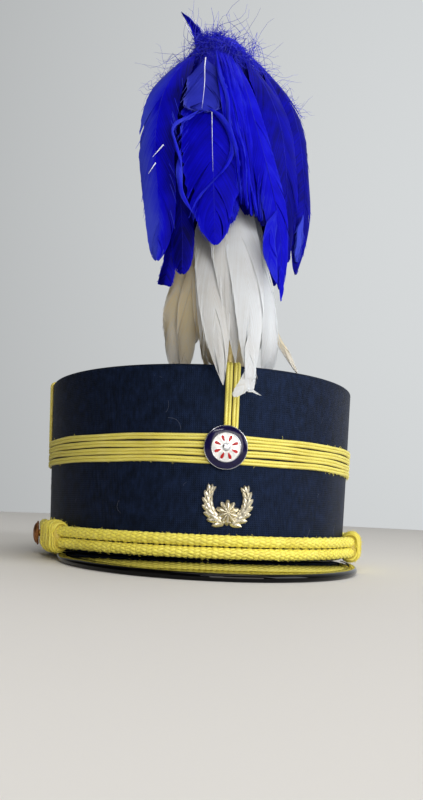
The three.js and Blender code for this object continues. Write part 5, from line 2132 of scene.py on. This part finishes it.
    def build(self) -> None:
        """Builds the stem and both tiers."""
        self.build_stem()
        self.build_white()
        self.build_blue()


# Studio


def aim(thing: bpy.types.Object, right: Array, up: Array, back: Array, place: Array) -> None:
    """Turns and places an object by its axes and links it to the scene.

    Args:
        thing: camera or light.
        right: direction to its right.
        up: direction up.
        back: direction from which it looks.
        place: its place in metres.
    """
    columns = np.eye(4)
    columns[:3] = np.stack([right, up, back, place], axis=-1)
    thing.matrix_world = Matrix(columns.tolist())
    bpy.context.scene.collection.objects.link(thing)


@dataclass(frozen=True)
class SoftBox:
    """A soft rectangular light."""

    name: str
    place: Triple
    target: Triple
    size: Point
    watts: float
    colour: str


@dataclass
class Studio:
    """The pale floor, soft light and the camera."""

    # The camera stands in the hat's frame, in millimetres, and its angles are degrees
    camera_place: Triple = (-78.33, -530.29, 18.0)
    yaw: float = 9.14
    pitch: float = -8.08
    roll: float = 2.31
    focal_px: float = 864.0
    frame_px: tuple[int, int] = (423, 800)
    sensor_mm: float = 36.0
    floor_radius: float = 1.1
    floor_forward: float = 0.35
    lights: tuple[SoftBox, ...] = (
        SoftBox("window", (1.25, -0.85, 0.8), (0.0, -0.05, 0.12), (0.9, 1.0), 14.0, "#fbfdff"),
        SoftBox("ceiling", (0.15, -0.3, 1.7), (0.0, 0.0, 0.1), (1.2, 1.2), 9.0, "#fffcf6"),
        SoftBox("front_room", (0.28, -1.65, 0.36), (0.0, 0.0, 0.12), (1.3, 0.9), 19.0, "#fffaf2"),
        SoftBox("left_room", (-1.3, -0.8, 0.4), (0.0, -0.05, 0.1), (0.9, 0.9), 0.6, "#fff2e2"),
        SoftBox("lamp", (-0.25, -1.5, 0.95), (0.0, -0.1, 0.02), (0.5, 0.07), 2.5, "#ffffff"),
    )
    sky_dark: str = "#211d19"
    sky_light: str = "#d6d9da"
    sky_bright_side: Triple = (0.55, 0.75, 0.25)
    sky_strength: float = 1.0

    def build_camera(self) -> None:
        """Places the camera by its yaw, pitch and roll."""
        (cy, sy), (cp, sp), (cr, sr) = (
            (math.cos(a), math.sin(a)) for a in np.radians([self.yaw, self.pitch, self.roll]))
        turn = np.array([[cy, -sy, 0.0], [sy, cy, 0.0], [0.0, 0.0, 1.0]])
        nod = np.array([[1.0, 0.0, 0.0], [0.0, cp, -sp], [0.0, sp, cp]])
        cant = np.array([[cr, 0.0, sr], [0.0, 1.0, 0.0], [-sr, 0.0, cr]])
        right, ahead, up = HAT.tip(cant @ nod @ turn)
        data = bpy.data.cameras.new("camera")
        data.sensor_width = self.sensor_mm
        data.lens = self.focal_px / max(self.frame_px) * self.sensor_mm
        data.clip_start = 0.01
        data.clip_end = 50.0
        camera = bpy.data.objects.new("camera", data)
        aim(camera, right, up, -ahead, HAT.to_rest(np.array(self.camera_place)))
        bpy.context.scene.camera = camera

    def build_floor(self) -> None:
        """Lays the pale floor."""
        r, forward = self.floor_radius, self.floor_forward
        ring = [(r * math.cos(t), r * math.sin(t) - forward, 0.0) for t in lap(96)]
        mesh = bpy.data.meshes.new("floor")
        mesh.from_pydata(ring, [], [list(range(len(ring)))])
        mesh.materials.append(FLOOR_PAINT.material())
        floor = bpy.data.objects.new("floor", mesh)
        bpy.context.scene.collection.objects.link(floor)

    def build_lights(self) -> None:
        """Hangs the soft boxes."""
        for box in self.lights:
            data = bpy.data.lights.new(box.name, "AREA")
            data.shape = "RECTANGLE"
            data.size, data.size_y = box.size
            data.energy = box.watts
            data.color = to_linear(box.colour)[:3]
            away = unit(np.array(box.place) - np.array(box.target))
            right = unit(np.cross(UP, away))
            aim(bpy.data.objects.new(box.name, data), right, np.cross(away, right), away, np.array(box.place))

    def build_sky(self) -> None:
        """Sets the room's own light, brighter on one side."""
        world = bpy.data.worlds.new("room")
        bpy.context.scene.world = world
        world.use_nodes = True
        bench = Bench(world.node_tree, world.node_tree.nodes["Background"])
        toward = add_node(bench.tree, "ShaderNodeTexCoord").outputs["Generated"]
        side = add_node(bench.tree, "ShaderNodeVectorMath", {0: toward, 1: self.sky_bright_side},
                        operation="DOT_PRODUCT").outputs["Value"]
        bench.feed(bench.mix(bench.spread(side, 0.2, 0.94), self.sky_dark, self.sky_light), "Color")
        bench.shader.inputs["Strength"].default_value = self.sky_strength
        bpy.context.scene.view_settings.view_transform = "Standard"

    def build(self) -> None:
        """Builds the camera, the floor and the light."""
        self.build_camera()
        self.build_floor()
        self.build_lights()
        self.build_sky()


def main() -> None:
    """Builds the studio and every part of the hat in order."""
    logging.basicConfig(level=logging.INFO, format="%(name)s %(message)s")
    for part in (Studio(), Crown(), Peak(), Soutache(), Cockade(), WreathBadge(), ChinCord(), Plume()):
        part.build()
        LOG.info("built %s", type(part).__name__)


if __name__ == "__main__":
    main()
